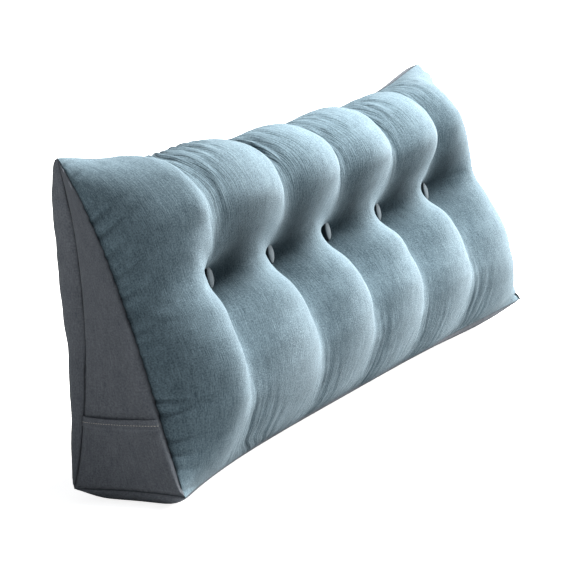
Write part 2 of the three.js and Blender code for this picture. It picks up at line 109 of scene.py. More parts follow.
class Fill(NamedTuple):
    """One place on the right end's seam that is filled out towards the front."""

    out: float
    girth: float
    spread: float


RIGHT_FILLS: tuple[Fill, ...] = (Fill(0.018, 0.91, 0.05), Fill(0.016, 0.61, 0.09))


@dataclass(frozen=True)
class Corner:
    """Where three seams meet: depth and height."""

    y: float
    z: float


@dataclass(frozen=True)
class LongSeam:
    """A seam along the cushion, drawn in from its corners at mid length."""

    y: float
    z: float
    left: Corner
    right: Corner
    late: float

    def at(self, a: Array) -> tuple[Array, Array]:
        """The seam's depth and height.

        Args:
            a: Place along the length, -1 at the left end and 1 at the right.

        Returns:
            Depth y and height z, in the shape of a.
        """
        share = np.abs(a) ** self.late
        end_y = np.where(a < 0, self.left.y, self.right.y)
        end_z = np.where(a < 0, self.left.z, self.right.z)
        return self.y + (end_y - self.y) * share, self.z + (end_z - self.z) * share


def mix(low: Array | float, high: Array | float, share: Array | float) -> Array:
    """Straight blend of two values.

    Args:
        low: Value at share 0.
        high: Value at share 1.
        share: How far from low to high.

    Returns:
        The blended value.
    """
    return low + (high - low) * share


def bell(t: Array, power: Array | float = 0.75) -> Array:
    """Zero at both ends of a seam and one at its middle.

    Args:
        t: Place along the seam, 0 to 1.
        power: How late it falls off.

    Returns:
        The bell's height.
    """
    return np.clip(4 * t * (1 - t), 0, 1) ** power


def smooth(t: Array) -> Array:
    """Smooth step from 0 to 1.

    Args:
        t: Any value.

    Returns:
        The step's height.
    """
    t = np.clip(t, 0, 1)
    return t * t * (3 - 2 * t)


@dataclass(frozen=True)
class WedgeForm:
    """The filled wedge as a closed form: front, back, base and two ends that share their seams."""

    # Length, lobes and where the middle of the depth lies.
    half: float = 0.75
    pitch: float = 0.2345
    lobes: int = 6
    y_shift: float = -0.1180
    # Seams along the cushion, and panel lengths between them.
    front_seam: LongSeam = LongSeam(0.056, 0.018, Corner(0.007, 0.024), Corner(-0.002, 0.042), 4.0)
    back_seam: LongSeam = LongSeam(0.194, 0.026, Corner(0.200, 0.022), Corner(0.200, 0.030), 4.0)
    ridge_seam: LongSeam = LongSeam(0.202, 0.481, Corner(0.203, 0.530), Corner(0.212, 0.535), 3.6)
    front_girth: float = 0.62
    back_height: float = 0.50
    base_depth: float = 0.18
    # How far each panel draws its end seams in, and how the seams bow.
    draw_front: float = 0.066
    draw_back: float = 0.064
    draw_base: float = 0.015
    right_foot_fall: float = 1.6
    right_ear_fall: float = 1.25
    even_fall: float = 0.75
    seam_bow: float = 0.078
    right_swing: float = 1.35
    left_swing: float = 0.55
    bow_fall: float = 1.3
    bow_power: int = 8
    seam_calm: float = 0.08
    # Ears at the ends and their rounded tips.
    ear_start: float = 0.5
    ear_power: float = 1.6
    tip_round: float = 0.012
    tip_reach: float = 0.022
    tip_drop: float = 0.005
    tip_power: int = 40
    # Lobes, the valleys between them and the pinch beside the buttons.
    valley_softness: float = 0.22
    crest_fullness: float = 2.2
    crest_flank: float = 0.95
    funnel_flank: float = 0.95
    button_girth: float = 0.515
    pinch_spread: float = 0.10
    pinch_reach: float = 0.2
    # Tufts, the sag over them and the deep valleys above the outer ones.
    tuft_depth: float = 0.040
    tuft_reach: float = 0.048
    pillow_sag: float = 0.016
    sag_peak: float = 1.1
    right_valley_depth: float = 0.030
    left_valley_depth: float = -0.006
    deep_fade: float = 0.22
    upper_start: float = 0.56
    upper_span: float = 0.40
    upper_power: float = 1.5
    # End lobes, their roll-off and the lean of the left one.
    end_lobe_slope: float = 0.82
    end_gap: float = 0.02
    end_reach: float = 0.20
    left_lean: float = 0.040
    left_shift: float = 0.008
    lean_reach: float = 0.2
    roll_low: float = 0.25
    roll_span: float = 0.5
    roll_start: float = 0.80
    roll_lift: float = 0.08
    roll_round: float = 2.3
    roll_power: float = 0.55
    roll_power_high: float = 0.1
    # Bulge of the back, the base and the end panels.
    back_crown: float = 0.060
    back_power: int = 34
    back_arch: float = 0.38
    back_lift: float = 0.15
    base_spread: float = 1.02
    base_power_left: int = 60
    base_power_right: int = 10
    hang_width: float = 1.3
    hang_power: float = 2.2
    end_crown: float = 0.020
    end_blend: int = 6
    end_low: float = 0.8
    end_arch: float = 0.8
    end_round: float = 0.6

    @property
    def outer_button(self) -> float:
        """Place of the outermost buttons along the length."""
        return (self.lobes - 2) / self.lobes

    def along_rows(self, column: str, place: Array) -> Array:
        """A smooth curve through one column of the section table.

        Args:
            column: The column's name.
            place: Place on the girth, 0 to 1.

        Returns:
            The column's value there.
        """
        rows = np.array([getattr(row, column) for row in SECTIONS])
        slope = np.gradient(rows)
        x = np.clip(place, 0, 1) * (len(rows) - 1)
        k = np.minimum(x.astype(int), len(rows) - 2)
        q = x - k
        return (
            (2 * q**3 - 3 * q**2 + 1) * rows[k]
            + (q**3 - 2 * q**2 + q) * slope[k]
            + (3 * q**2 - 2 * q**3) * rows[k + 1]
            + (q**3 - q**2) * slope[k + 1]
        )

    def tip(self, a: Array, to_tip: Array) -> Array:
        """How far the ears' tips are rounded off, as a share of the most.

        Args:
            a: Place along the length.
            to_tip: Share of the panel's height between there and the ridge.

        Returns:
            One at the tip, zero away from it.
        """
        return np.exp(-to_tip / self.tip_reach) * np.abs(a) ** self.tip_power

    def length_at(self, a: Array, draw: Array) -> Array:
        """Place along X: even lobes inside, ears that reach out to the corners at the ends.

        Args:
            a: Place along the length, -1 to 1.
            draw: How far the end seam is drawn in there.

        Returns:
            The X value.
        """
        start = self.ear_start
        out = np.clip((np.abs(a) - start) / (1 - start), 0, 1) ** self.ear_power
        even = self.lobes / 2 * self.pitch
        return even * a + np.sign(a) * out * (self.half - even - draw)

    def across_lobe(self, a: Array) -> Array:
        """Zero in a valley and one on a crest. The end lobes run out level.

        Args:
            a: Place along the length, -1 to 1.

        Returns:
            The place across the lobe.
        """
        turn = a * self.lobes / 2 + 0.5
        inner = 2 * np.abs(turn - np.floor(turn) - 0.5)
        outer = np.clip((np.abs(a) - self.outer_button) * self.lobes * self.end_lobe_slope, 0, 1)
        return np.where(np.abs(a) > self.outer_button, outer, inner)

    def rise(self, a: Array, girth: Array) -> Array:
        """A lobe's rise: round and full away from the buttons, a soft funnel beside them.

        Args:
            a: Place along the length.
            girth: Place on the girth.

        Returns:
            Zero in a valley, one on the crest.
        """
        s = self.across_lobe(a)
        soft = self.valley_softness
        rounded = (np.hypot(s, soft) - soft) / (math.hypot(1, soft) - soft)
        full = (1 - (1 - rounded) ** self.crest_fullness) ** self.crest_flank
        funnel = (1 - np.cos(np.pi * s**self.funnel_flank)) / 2
        pinch = np.exp(-(((girth - self.button_girth) / self.pinch_spread) ** 2))
        return mix(full, funnel, pinch)

    def tuft(self, a: Array, girth: Array, rise: Array) -> tuple[Array, Array]:
        """The funnels round the buttons, and the upper pillows' sag over them.

        Args:
            a: Place along the length.
            girth: Place on the girth.
            rise: The lobe's rise there.

        Returns:
            How far the cloth is drawn in there, and how far it sags.
        """
        up = (girth - self.button_girth) * self.front_girth / self.tuft_reach
        near = np.zeros_like(a)
        for valley in range(self.lobes - 1):
            middle = (2 * valley - self.lobes + 2) / self.lobes
            along = (a - middle) * self.lobes / 2 * self.pitch / self.tuft_reach
            near = np.maximum(near, 1 / (1 + along**2 + up**2))
        above = np.maximum(up, 0) / self.sag_peak
        side = np.exp(-(((girth - self.button_girth) / self.pinch_reach) ** 2)) * near**0.5
        sag = self.pillow_sag * side * above * np.exp(1 - above)
        inner = self.outer_button / 2
        outer = smooth((np.abs(a) - inner) / inner)
        outer = outer * (1 - smooth((np.abs(a) - self.outer_button) / self.deep_fade))
        high = np.clip((girth - self.upper_start) / self.upper_span, 0, 1)
        most = np.where(a > 0, self.right_valley_depth, self.left_valley_depth)
        deeper = most * outer * (1 - rise) * np.sin(np.pi * high) ** self.upper_power
        return self.tuft_depth * near + deeper, sag

    def roll(self, a: Array, girth: Array) -> Array:
        """The front's roll-off towards the end seams.

        Args:
            a: Place along the length.
            girth: Place on the girth.

        Returns:
            One inside, zero on the end seam.
        """
        high = smooth((girth - self.roll_low) / self.roll_span)
        start = self.roll_start - self.roll_lift * high
        q = np.clip((np.abs(a) - start) / (1 - start), 0, 1)
        power = self.roll_power + self.roll_power_high * high
        return np.maximum(1 - q**self.roll_round, 0) ** power

    def section(self, axis: str, girth: Array, rise: Array, outward: Array) -> Array:
        """The section table's value between a valley, a crest and an end lobe.

        Args:
            axis: "y" for the depth or "z" for the height.
            girth: Place on the girth.
            rise: The lobe's rise there.
            outward: How far into the end lobe, 0 to 1.

        Returns:
            The depth or the height.
        """
        crest = self.along_rows(f"crest_{axis}", girth)
        end = self.along_rows(f"end_{axis}", girth)
        valley = self.along_rows(f"valley_{axis}", girth)
        return mix(valley, mix(crest, end, outward), rise)

    def front(self, a: Array, girth: Array) -> Array:
        """Points of the tufted front.

        Args:
            a: Place along the length.
            girth: 0 on the bottom seam, 1 on the ridge seam.

        Returns:
            Points, with X, Y and Z on the last axis.
        """
        outward = smooth((np.abs(a) - self.outer_button - self.end_gap) / self.end_reach)
        rise = self.rise(a, girth)
        inside = smooth(np.minimum(girth, 1 - girth) / self.seam_calm)
        drawn, sag = self.tuft(a, girth, rise)
        drawn, sag = drawn * inside, sag * inside

        low_y, low_z = self.front_seam.at(a)
        high_y, high_z = self.ridge_seam.at(a)
        roll = self.roll(a, girth)
        swing = np.where(a > 0, self.right_swing * girth, girth**self.left_swing)
        bow = self.seam_bow * swing * (1 - girth) ** self.bow_fall * np.abs(a) ** self.bow_power
        for fill in RIGHT_FILLS:
            near = np.exp(-(((girth - fill.girth) / fill.spread) ** 2))
            bow = bow - np.where(a > 0, fill.out, 0) * inside * near * a**self.bow_power
        right_fall = np.where(girth > 0.5, self.right_ear_fall, self.right_foot_fall)
        fall = np.where(a > 0, right_fall, self.even_fall)
        tip = self.tip(a, 1 - girth)
        x = self.length_at(a, self.draw_front * bell(girth, fall) + self.tip_round * tip)
        away = smooth(np.abs(girth - self.button_girth) / self.pinch_reach)
        lean = (self.left_lean * away + self.left_shift) * inside * roll
        x = x - lean * np.exp(-(((a + self.outer_button) / self.lean_reach) ** 2))
        y = mix(low_y, high_y, girth) + bow
        deep = self.section("y", girth, rise, outward) + drawn
        y = y + (deep - mix(self.front_seam.y, self.ridge_seam.y, girth)) * roll
        z = mix(low_z, high_z, girth) - self.tip_drop * tip
        tall = self.section("z", girth, rise, outward) - sag
        z = z + (tall - mix(self.front_seam.z, self.ridge_seam.z, girth)) * roll
        return np.stack([x, y + self.y_shift, z], axis=-1)

    def back(self, a: Array, drop: Array) -> Array:
        """Points of the upright back.

        Args:
            a: Place along the length.
            drop: 0 on the ridge seam, 1 on the back's bottom seam.

        Returns:
            Points, with X, Y and Z on the last axis.
        """
        high_y, high_z = self.ridge_seam.at(a)
        low_y, low_z = self.back_seam.at(a)
        roll = np.sqrt(np.maximum(1 - np.abs(a) ** self.back_power, 0))
        arch = np.maximum(np.sin(np.pi * drop), 0) ** self.back_arch
        crown = self.back_crown * arch * (1 + self.back_lift * np.cos(np.pi * drop)) * roll
        tip = self.tip(a, drop)
        x = self.length_at(a, self.draw_back * bell(drop) + self.tip_round * tip)
        y = mix(high_y, low_y, drop) + crown + self.y_shift
        return np.stack([x, y, mix(high_z, low_z, drop) - self.tip_drop * tip], axis=-1)

    def base(self, a: Array, across: Array) -> Array:
        """Points of the base, which lies flat on the floor inside its seams.

        Args:
            a: Place along the length.
            across: 0 on the back's bottom seam, 1 on the front's.

        Returns:
            Points, with X, Y and Z on the last axis.
        """
        back_y, back_z = self.back_seam.at(a)
        front_y, front_z = self.front_seam.at(a)
        power = np.where(a > 0, self.base_power_right, self.base_power_left)
        roll = np.sqrt(np.maximum(1 - np.abs(a) ** power, 0))
        roll = np.minimum(1, self.base_spread * roll)
        inside = np.minimum(1, self.hang_width * np.sin(np.pi * across))
        hang = 1 - (1 - inside) ** self.hang_power
        hang = np.where((across <= 0) | (across >= 1), 0, hang)
        x = self.length_at(a, self.draw_base * bell(across))
        y = mix(back_y, front_y, across) + self.y_shift
        return np.stack([x, y, mix(back_z, front_z, across) * (1 - hang * roll)], axis=-1)

    def end(self, side: int, height: Array, across: Array) -> Array:
        """Points of an end panel.

        Args:
            side: -1 for the left end, 1 for the right.
            height: 0 on the bottom seam, 1 at the tip.
            across: 0 on the front seam, 1 on the back seam.

        Returns:
            Points, with X, Y and Z on the last axis.
        """
        a = np.full(np.shape(height), float(side))
        zero = np.zeros_like(a)
        share = across[..., None]
        point = mix(self.front(a, height), self.back(a, 1 - height), share)
        straight = mix(self.front(a, zero), self.back(a, zero + 1), share)
        low = ((1 - height) ** self.end_blend)[..., None]
        point = point + (self.base(a, 1 - across) - straight) * low
        arch = np.maximum(np.sin(np.pi * height**self.end_low), 0) ** self.end_arch
        point[..., 0] += side * self.end_crown * bell(across, self.end_round) * arch
        return point


@dataclass(frozen=True)
class SkinGrid:
    """How finely the cushion's cloth is cut into cells."""

    columns: int = 188
    front_rows: int = 84
    back_rows: int = 24
    base_rows: int = 12
    end_rows: int = 26
    end_columns: int = 8
    end_start: float = 0.01
    end_finish: float = 0.955
    seam_inset: float = 0.0032
    most_inset: float = 0.3


def arc_lengths(grid: Array, axis: int) -> Array:
    """Running length along one direction of a grid.

    Args:
        grid: Points, columns by rows by 3.
        axis: 0 along the columns, 1 along the rows.

    Returns:
        The length from the first line to each point.
    """
    step = np.linalg.norm(np.diff(grid, axis=axis), axis=-1)
    start = np.zeros_like(np.take(step, [0], axis=axis))
    return np.concatenate([start, np.cumsum(step, axis=axis)], axis=axis)


def cloth_map(grid: Array, turned: bool) -> Array:
    """Places on the cloth, in metres along its threads.

    Args:
        grid: Points, columns by rows by 3.
        turned: True if the warp runs along the columns.

    Returns:
        The two places of each point, columns by rows by 2.
    """
    flat = np.zeros(grid.shape[:2])
    u = arc_lengths(grid, 0).mean(axis=1, keepdims=True) + flat
    v = arc_lengths(grid, 1).mean(axis=0, keepdims=True) + flat
    return np.stack([v, u] if turned else [u, v], axis=-1)


def grid_quads(index: Array) -> Array:
    """The cells of a grid.

    Args:
        index: The points' numbers, columns by rows.

    Returns:
        The cells' corners, N by 4.
    """
    corners = [index[:-1, :-1], index[1:, :-1], index[1:, 1:], index[:-1, 1:]]
    return np.stack(corners, axis=-1).reshape(-1, 4)


def grid_rim(index: Array) -> list[int]:
    """The rim of a grid, as one loop.

    Args:
        index: The points' numbers, columns by rows.

    Returns:
        The rim's numbers in order.
    """
    return [*index[:-1, 0], *index[-1, :-1], *index[:0:-1, -1], *index[0, :0:-1]]


def read_values(items: bpy.types.bpy_prop_collection, key: str, width: int) -> Array:
    """Reads one property of every item of a mesh.

    Args:
        items: The mesh's points, normals, loops or the data of an attribute.
        key: The property's name.
        width: How many numbers each item holds.

    Returns:
        The values, N by width.
    """
    values = np.empty(len(items) * width, np.float32)
    items.foreach_get(key, values)
    return values.reshape(-1, width)


def loop_points(mesh: bpy.types.Mesh) -> Array:
    """The number of each loop's point.

    Args:
        mesh: The mesh.

    Returns:
        The numbers, one for each loop.
    """
    corner = np.empty(len(mesh.loops), np.int32)
    mesh.loops.foreach_get("vertex_index", corner)
    return corner


def add_cloth_map(mesh: bpy.types.Mesh, uvs: Array) -> None:
    """Gives a mesh its map named "cloth".

    Args:
        mesh: The mesh.
        uvs: The loops' places on the cloth, N by 2.
    """
    layer = mesh.uv_layers.new(name="cloth")
    layer.data.foreach_set("uv", uvs.astype(np.float32).ravel())


def add_point_value(mesh: bpy.types.Mesh, name: str, values: Array) -> None:
    """Gives a mesh's points one number each, for its finish to read.

    Args:
        mesh: The mesh.
        name: The attribute's name.
        values: The numbers.
    """
    layer = mesh.attributes.new(name, "FLOAT", "POINT")
    layer.data.foreach_set("value", values.astype(np.float32))


def shade_smooth(mesh: bpy.types.Mesh) -> None:
    """Shades every face smoothly."""
    mesh.polygons.foreach_set("use_smooth", [True] * len(mesh.polygons))


def apply_modifier(obj: bpy.types.Object, modifier: bpy.types.Modifier) -> None:
    """Turns a modifier's result into the object's own mesh.

    Args:
        obj: The object.
        modifier: Its only modifier.
    """
    bpy.context.view_layer.update()
    graph = bpy.context.evaluated_depsgraph_get()
    result = bpy.data.meshes.new_from_object(obj.evaluated_get(graph), depsgraph=graph)
    before = obj.data
    obj.modifiers.remove(modifier)
    obj.data = result
    bpy.data.meshes.remove(before)
    result.name = obj.name


@dataclass
class Skin:
    """Collects grids of cloth into one closed mesh that is welded along its seams."""

    points: list[Array] = field(default_factory=list)
    uvs: list[Array] = field(default_factory=list)
    holds: list[Array] = field(default_factory=list)
    rests: list[Array] = field(default_factory=list)
    places: list[Array] = field(default_factory=list)
    faces: list[tuple[int, ...]] = field(default_factory=list)
    slots: list[int] = field(default_factory=list)
    count: int = 0

    def add_points(self, points: Array, uv: Array, rest: Array, hold: Array, place: Array) -> int:
        """Adds points with their places on the cloth.

        Args:
            points: N by 3.
            uv: N by 2, metres along the cloth.
            rest: N by 3, where the cloth would lie unstretched.
            hold: N, how firmly each point is held, 0 to 1.
            place: N by 2, place along the length and round the girth.

        Returns:
            The first new point's number.
        """
        first = self.count
        self.points.append(points.reshape(-1, 3))
        self.uvs.append(uv.reshape(-1, 2))
        self.rests.append(rest.reshape(-1, 3))
        self.holds.append(hold.reshape(-1))
        self.places.append(place.reshape(-1, 2))
        self.count += len(self.points[-1])
        return first

    def add_grid(
        self,
        grid: Array,
        rest: Array,
        hold: Array,
        place: Array,
        slot: int,
        flip: bool = False,
        turn_uv: bool = False,
    ) -> Array:
        """Adds a grid of quads.

        Args:
            grid: Points, columns by rows by 3.
            rest: The same points where the cloth would lie unstretched.
            hold: How firmly each point is held, 0 to 1.
            place: Place along the length and round the girth, columns by rows by 2.
            slot: Number of the material.
            flip: True if the outside is against the grid's own normals.
            turn_uv: True if the warp runs along the columns.

        Returns:
            The points' numbers, columns by rows.
        """
        first = self.add_points(grid, cloth_map(grid, turn_uv), rest, hold, place)
        columns, rows = grid.shape[:2]
        index = first + np.arange(columns * rows).reshape(columns, rows)
        quads = grid_quads(index)
        if flip:
            quads = quads[:, ::-1]
        self.faces.extend(map(tuple, quads.tolist()))
        self.slots.extend([slot] * len(quads))
        return index

    def zip_loops(self, outer: list[int], inner: list[int], slot: int, flip: bool) -> None:
        """Fills the strip between two closed loops that start side by side and run the same way.

        Args:
            outer: Numbers of the outer loop's points.
            inner: Numbers of the inner loop's points.
            slot: Number of the material.
            flip: True if the loops run clockwise as seen from outside.
        """
        points = np.concatenate(self.points)
        uvs = np.concatenate(self.uvs)
        rests = np.concatenate(self.rests)
        loop = points[outer]
        near = np.array([np.argmin(np.linalg.norm(points[inner] - p, axis=1)) for p in loop])
        places = np.concatenate(self.places)[outer]
        edge_uv = uvs[np.array(inner)[near]]
        first = self.add_points(loop, edge_uv, rests[outer], np.ones(len(loop)), places)
        loop_of = list(range(first, first + len(loop)))
        i = j = 0
        while i < len(outer) or j < len(inner):
            a, b = i % len(outer), j % len(inner)
            next_a, next_b = (i + 1) % len(outer), (j + 1) % len(inner)
            to_a = np.linalg.norm(loop[next_a] - points[inner[b]])
            to_b = np.linalg.norm(loop[a] - points[inner[next_b]])
            step_outer = j >= len(inner) or (i < len(outer) and to_a <= to_b)
            third = loop_of[next_a] if step_outer else inner[next_b]
            face = (loop_of[a], third, inner[b])
            self.faces.append(face[::-1] if flip else face)
            self.slots.append(slot)
            if step_outer:
                i += 1
            else:
                j += 1

    def to_mesh(self, name: str, weld: float = 1e-5) -> tuple[bpy.types.Mesh, Array, Array]:
        """Makes the welded mesh.

        Args:
            name: The mesh's name.
            weld: Points closer than this become one.

        Returns:
            The mesh, with its cloth map named "cloth", its unstretched points and its holds.
        """
        points = np.concatenate(self.points)
        cells = np.round((points + weld * 0.37) / weld).astype(np.int64)
        _, kept, place = np.unique(cells, axis=0, return_index=True, return_inverse=True)
        place = place.reshape(-1)
        hold = np.zeros(len(kept))
        np.maximum.at(hold, place, np.concatenate(self.holds))
        rest = np.concatenate(self.rests)[kept]
        faces, slots, corners = [], [], []
        for face, slot in zip(self.faces, self.slots):
            welded = [int(place[k]) for k in face]
            if len(set(welded)) == len(welded):
                faces.append(welded)
                slots.append(slot)
                corners.extend(face)
            elif len(set(welded)) == 3 and len(welded) == 4:
                keep = [k for k in range(4) if welded[k] != welded[(k + 1) % 4]]
                faces.append([welded[k] for k in keep])
                slots.append(slot)
                corners.extend(face[k] for k in keep)
        mesh = bpy.data.meshes.new(name)
        mesh.from_pydata(points[kept].tolist(), [], faces)
        mesh.polygons.foreach_set("material_index", slots)
        add_cloth_map(mesh, np.concatenate(self.uvs)[corners])
        spots = np.concatenate(self.places)[kept]
        a, girth = spots.T
        on_seam = np.isin(girth, (0.0, 1.0, 2.0)) | ((np.abs(a) == 1) & (girth < 4))
        place_layer = mesh.attributes.new("place", "FLOAT2", "POINT")
        place_layer.data.foreach_set("vector", spots.astype(np.float32).ravel())
        # The "seam" mask sinks a groove along each seam and darkens it with painted shade.
        add_point_value(mesh, "seam", on_seam)
        shade_smooth(mesh)
        mesh.update()
        return mesh, rest, hold


def new_object(name: str, mesh: bpy.types.Mesh) -> bpy.types.Object:
    """Puts a mesh into the scene at the origin.

    Args:
        name: The object's name.
        mesh: Its mesh, already in place in the row frame.

    Returns:
        The new object.
    """
    obj = bpy.data.objects.new(name, mesh)
    bpy.context.scene.collection.objects.link(obj)
    return obj


class Fold(NamedTuple):
    """One gathered fold that runs along the girth, as shares of a lobe and of the girth."""

    lobe_offset: float
    start: float
    finish: float
    lean: float
    depth_mm: float
    width_mm: float


RIDGE_FOLDS: tuple[Fold, ...] = (
    Fold(-0.40, 1.00, 0.84, 0.04, 1.6, 4.0),
    Fold(-0.28, 1.00, 0.78, 0.06, 2.4, 4.5),
    Fold(-0.18, 1.00, 0.72, 0.05, 3.6, 4.5),
    Fold(-0.09, 1.00, 0.66, 0.04, 4.8, 4.5),
    Fold(-0.02, 1.00, 0.58, 0.01, 6.0, 4.5),
    Fold(0.06, 1.00, 0.62, -0.02, 5.4, 4.5),
    Fold(0.13, 1.00, 0.68, -0.04, 4.6, 4.5),
    Fold(0.20, 1.00, 0.72, -0.06, 3.6, 4.5),
    Fold(0.29, 1.00, 0.78, -0.06, 2.6, 4.5),
    Fold(0.38, 1.00, 0.82, -0.05, 2.2, 4.5),
    Fold(0.48, 1.00, 0.86, -0.03, 1.6, 4.5),
)
FOOT_FOLDS: tuple[Fold, ...] = (
    Fold(-0.42, 0.00, 0.20, 0.06, 0.6, 4.0),
    Fold(-0.32, 0.00, 0.26, 0.08, 0.7, 4.0),
    Fold(-0.22, 0.00, 0.30, 0.07, 0.8, 4.0),
    Fold(-0.12, 0.00, 0.34, 0.05, 1.0, 4.0),
    Fold(-0.03, 0.00, 0.40, 0.00, 1.2, 4.0),
    Fold(0.06, 0.00, 0.38, -0.03, 1.1, 4.0),
    Fold(0.15, 0.00, 0.34, -0.05, 0.9, 4.0),
    Fold(0.25, 0.00, 0.30, -0.07, 0.8, 4.0),
    Fold(0.36, 0.00, 0.24, -0.05, 0.6, 4.0),
    Fold(0.47, 0.00, 0.20, -0.03, 0.5, 4.0),
)


class Stray(NamedTuple):
    """How far hand work strays from its size: its spread, and its least and most share."""

    spread: float
    least: float
    most: float

    def share(self, jitter: float) -> float:
        """The share of its size that one piece of work has."""
        return float(np.clip(1 + self.spread * jitter, self.least, self.most))


@dataclass
class Creasing:
    """Gathers, puckers and slight unevenness that the filling leaves in the cloth."""

    form: WedgeForm
    seed: int = 11
    # Gathered folds over the ridge and up from the foot.
    place_stray: float = 0.03
    lean_stray: float = 0.02
    fold_depth: Stray = Stray(0.45, 0.2, 2.0)
    fold_width: Stray = Stray(0.25, 0.6, 1.6)
    fold_wave: float = 0.012
    fold_turns: float = 5.0
    fold_turn_stray: float = 3.0
    fold_start: float = 0.4
    fold_start_reach: float = 0.06
    fold_fade: float = 0.75
    bank_out: float = 1.7
    bank_height: float = 0.35
    # Puckers across the end seams.
    pucker_spacing: float = 0.021
    pucker_depth: float = 0.0032
    pucker_reach: float = 0.032
    pucker_width: float = 0.009
    pucker_girth: tuple[float, float] = (0.03, 0.98)
    pucker_stray: float = 0.010
    pucker_slant: float = 0.12
    pucker_depths: Stray = Stray(0.6, 0.0, 2.2)
    pucker_widths: Stray = Stray(0.3, 0.5, 1.6)
    end_stretch: float = 1.7
    end_girth: float = 0.55
    # Slow unevenness of the filling.
    sway_depth: float = 0.0016
    sway_lengths: tuple[float, ...] = (0.31, 0.19, 0.12, 0.075, 0.052)
    sway_power: float = 0.8
    # Sewn seams and the dimples under the buttons.
    calm_reach: float = 0.012
    groove_depth: float = 0.0016
    groove_reach: float = 1.4
    dimple_depth: float = 0.0040
    dimple_reach: float = 0.020
    # Where shade is painted in each tuft, beside and above its button.
    tuft_shade_middle: tuple[float, float, float] = (0.050, 0.0, 0.042)
    tuft_shade_reach: tuple[float, float, float] = (0.068, 0.110, 0.096)
    # Where the cloth is gathered into fine lines, which get a bump and painted crease shade.
    ridge_start: float = 0.56
    ridge_later: float = 0.14
    ridge_span: float = 0.26
    ridge_least: float = 0.42
    foot_span: float = 0.30
    foot_least: float = 0.3
    foot_share: float = 0.7
    end_start: float = 0.90
    end_span: float = 0.25

    def __post_init__(self) -> None:
        """Starts its own seeded chance and finds the buttons' seats."""
        self.chance = np.random.default_rng(self.seed)
        button = CoveredButton(stand=0)
        self.seats = [button.spot(self.form, index) for index in range(len(BUTTONS))]

    def apply(self, obj: bpy.types.Object) -> None:
        """Moves the cloth's points along their normals and stores its painted-shade masks.

        Args:
            obj: The cushion, with its point attributes "place" and "seam".
        """
        mesh = obj.data
        points = read_values(mesh.vertices, "co", 3).astype(float)
        normals = read_values(mesh.vertex_normals, "vector", 3)
        seams = read_values(mesh.attributes["seam"].data, "value", 1)[:, 0]
        a, girth = read_values(mesh.attributes["place"].data, "vector", 2).T.astype(float)
        front = (girth >= 0) & (girth <= 1)
        back = (girth > 1) & (girth < 2)
        push = np.zeros(len(points))
        push[front] += self.gathers(a[front], girth[front])
        push[front] += self.end_puckers(a[front], girth[front])
        push[front | back] += self.sway(points[front | back])
        calm = np.minimum(girth % 1, 1 - girth % 1)
        push *= smooth(calm / self.calm_reach)
        for seat in self.seats:
            away = np.linalg.norm(points - seat, axis=1)
            near = np.exp(-((away / self.dimple_reach) ** 2))
            push = push * (1 - near) - self.dimple_depth * near
        push -= self.groove_depth * smooth(seams * self.groove_reach)
        points += normals * push[:, None]
        mesh.vertices.foreach_set("co", points.astype(np.float32).ravel())
        # Painted shade: the "pocket" mask darkens the cloth in each tuft, beside and above its
        # button.
        add_point_value(mesh, "pocket", self.tuft_shade_mask(points))
        # The "gather" mask gives the fine lines a bump and a painted crease shade.
        add_point_value(mesh, "gather", self.gathered(a, girth) * front)
        mesh.attributes.remove(mesh.attributes["place"])
        mesh.update()

    def tuft_shade_mask(self, points: Array) -> Array:
        """How much painted shade the cloth gets in a tuft, beside and above each button.

        Args:
            points: Points, N by 3.

        Returns:
            Zero on the open cloth, one where the painted shade is darkest.
        """
        deep = np.zeros(len(points))
        for seat in self.seats:
            away = (points - seat - np.array(self.tuft_shade_middle)) / np.array(self.tuft_shade_reach)
            deep = np.maximum(deep, np.exp(-(away**2).sum(axis=1)))
        return deep

    def gathered(self, a: Array, girth: Array) -> Array:
        """How closely the cloth is gathered: most by the ridge and the foot, near the valleys.

        Args:
            a: Place along the length.
            girth: Place on the girth.

        Returns:
            Zero where it is smooth, one where it is most gathered and its painted crease shade is
            darkest.
        """
        valley = 1 - self.form.across_lobe(a)
        start = self.ridge_start + self.ridge_later * (1 - valley)
        ridge = smooth((girth - start) / self.ridge_span) * mix(self.ridge_least, 1, valley)
        foot = smooth(1 - girth / self.foot_span) * mix(self.foot_least, 1, valley)
        inside = smooth((self.end_start - np.abs(a)) / self.end_span)
        return (ridge + foot * self.foot_share) * inside

    def gathers(self, a: Array, girth: Array) -> Array:
        """Folds that run over the ridge and up from the foot, bundled at the valleys.

        Args:
            a: Place along the length.
            girth: Place on the girth.

        Returns:
            How far the cloth moves out, in metres.
        """
        lobe = 2 / self.form.lobes
        across = self.form.pitch
        push = np.zeros_like(a)
        for valley in range(self.form.lobes - 1):
            middle = (valley - (self.form.lobes - 2) / 2) * lobe
            for fold in RIDGE_FOLDS + FOOT_FOLDS:
                jitter = self.chance.normal(0, 1, 6)
                offset = fold.lobe_offset + self.place_stray * jitter[0]
                finish = fold.finish + self.place_stray * jitter[1]
                depth = fold.depth_mm * 1e-3 * self.fold_depth.share(jitter[2])
                width = fold.width_mm * 1e-3 * self.fold_width.share(jitter[3])
                t = (girth - fold.start) / (finish - fold.start)
                line = offset + (fold.lean + self.lean_stray * jitter[4]) * t**2
                turn = t * self.fold_turns + self.fold_turn_stray * jitter[5]
                line = line + self.fold_wave * np.sin(turn)
                away = ((a - middle) / lobe - line) * across
                along = smooth(t / self.fold_start_reach + self.fold_start)
                along = along * smooth((1 - t) / self.fold_fade) * (t < 1)
                groove = np.exp(-((away / width) ** 2))
                bank = np.exp(-(((np.abs(away) - self.bank_out * width) / width) ** 2))
                push += depth * along * (self.bank_height * bank - groove)
        return push

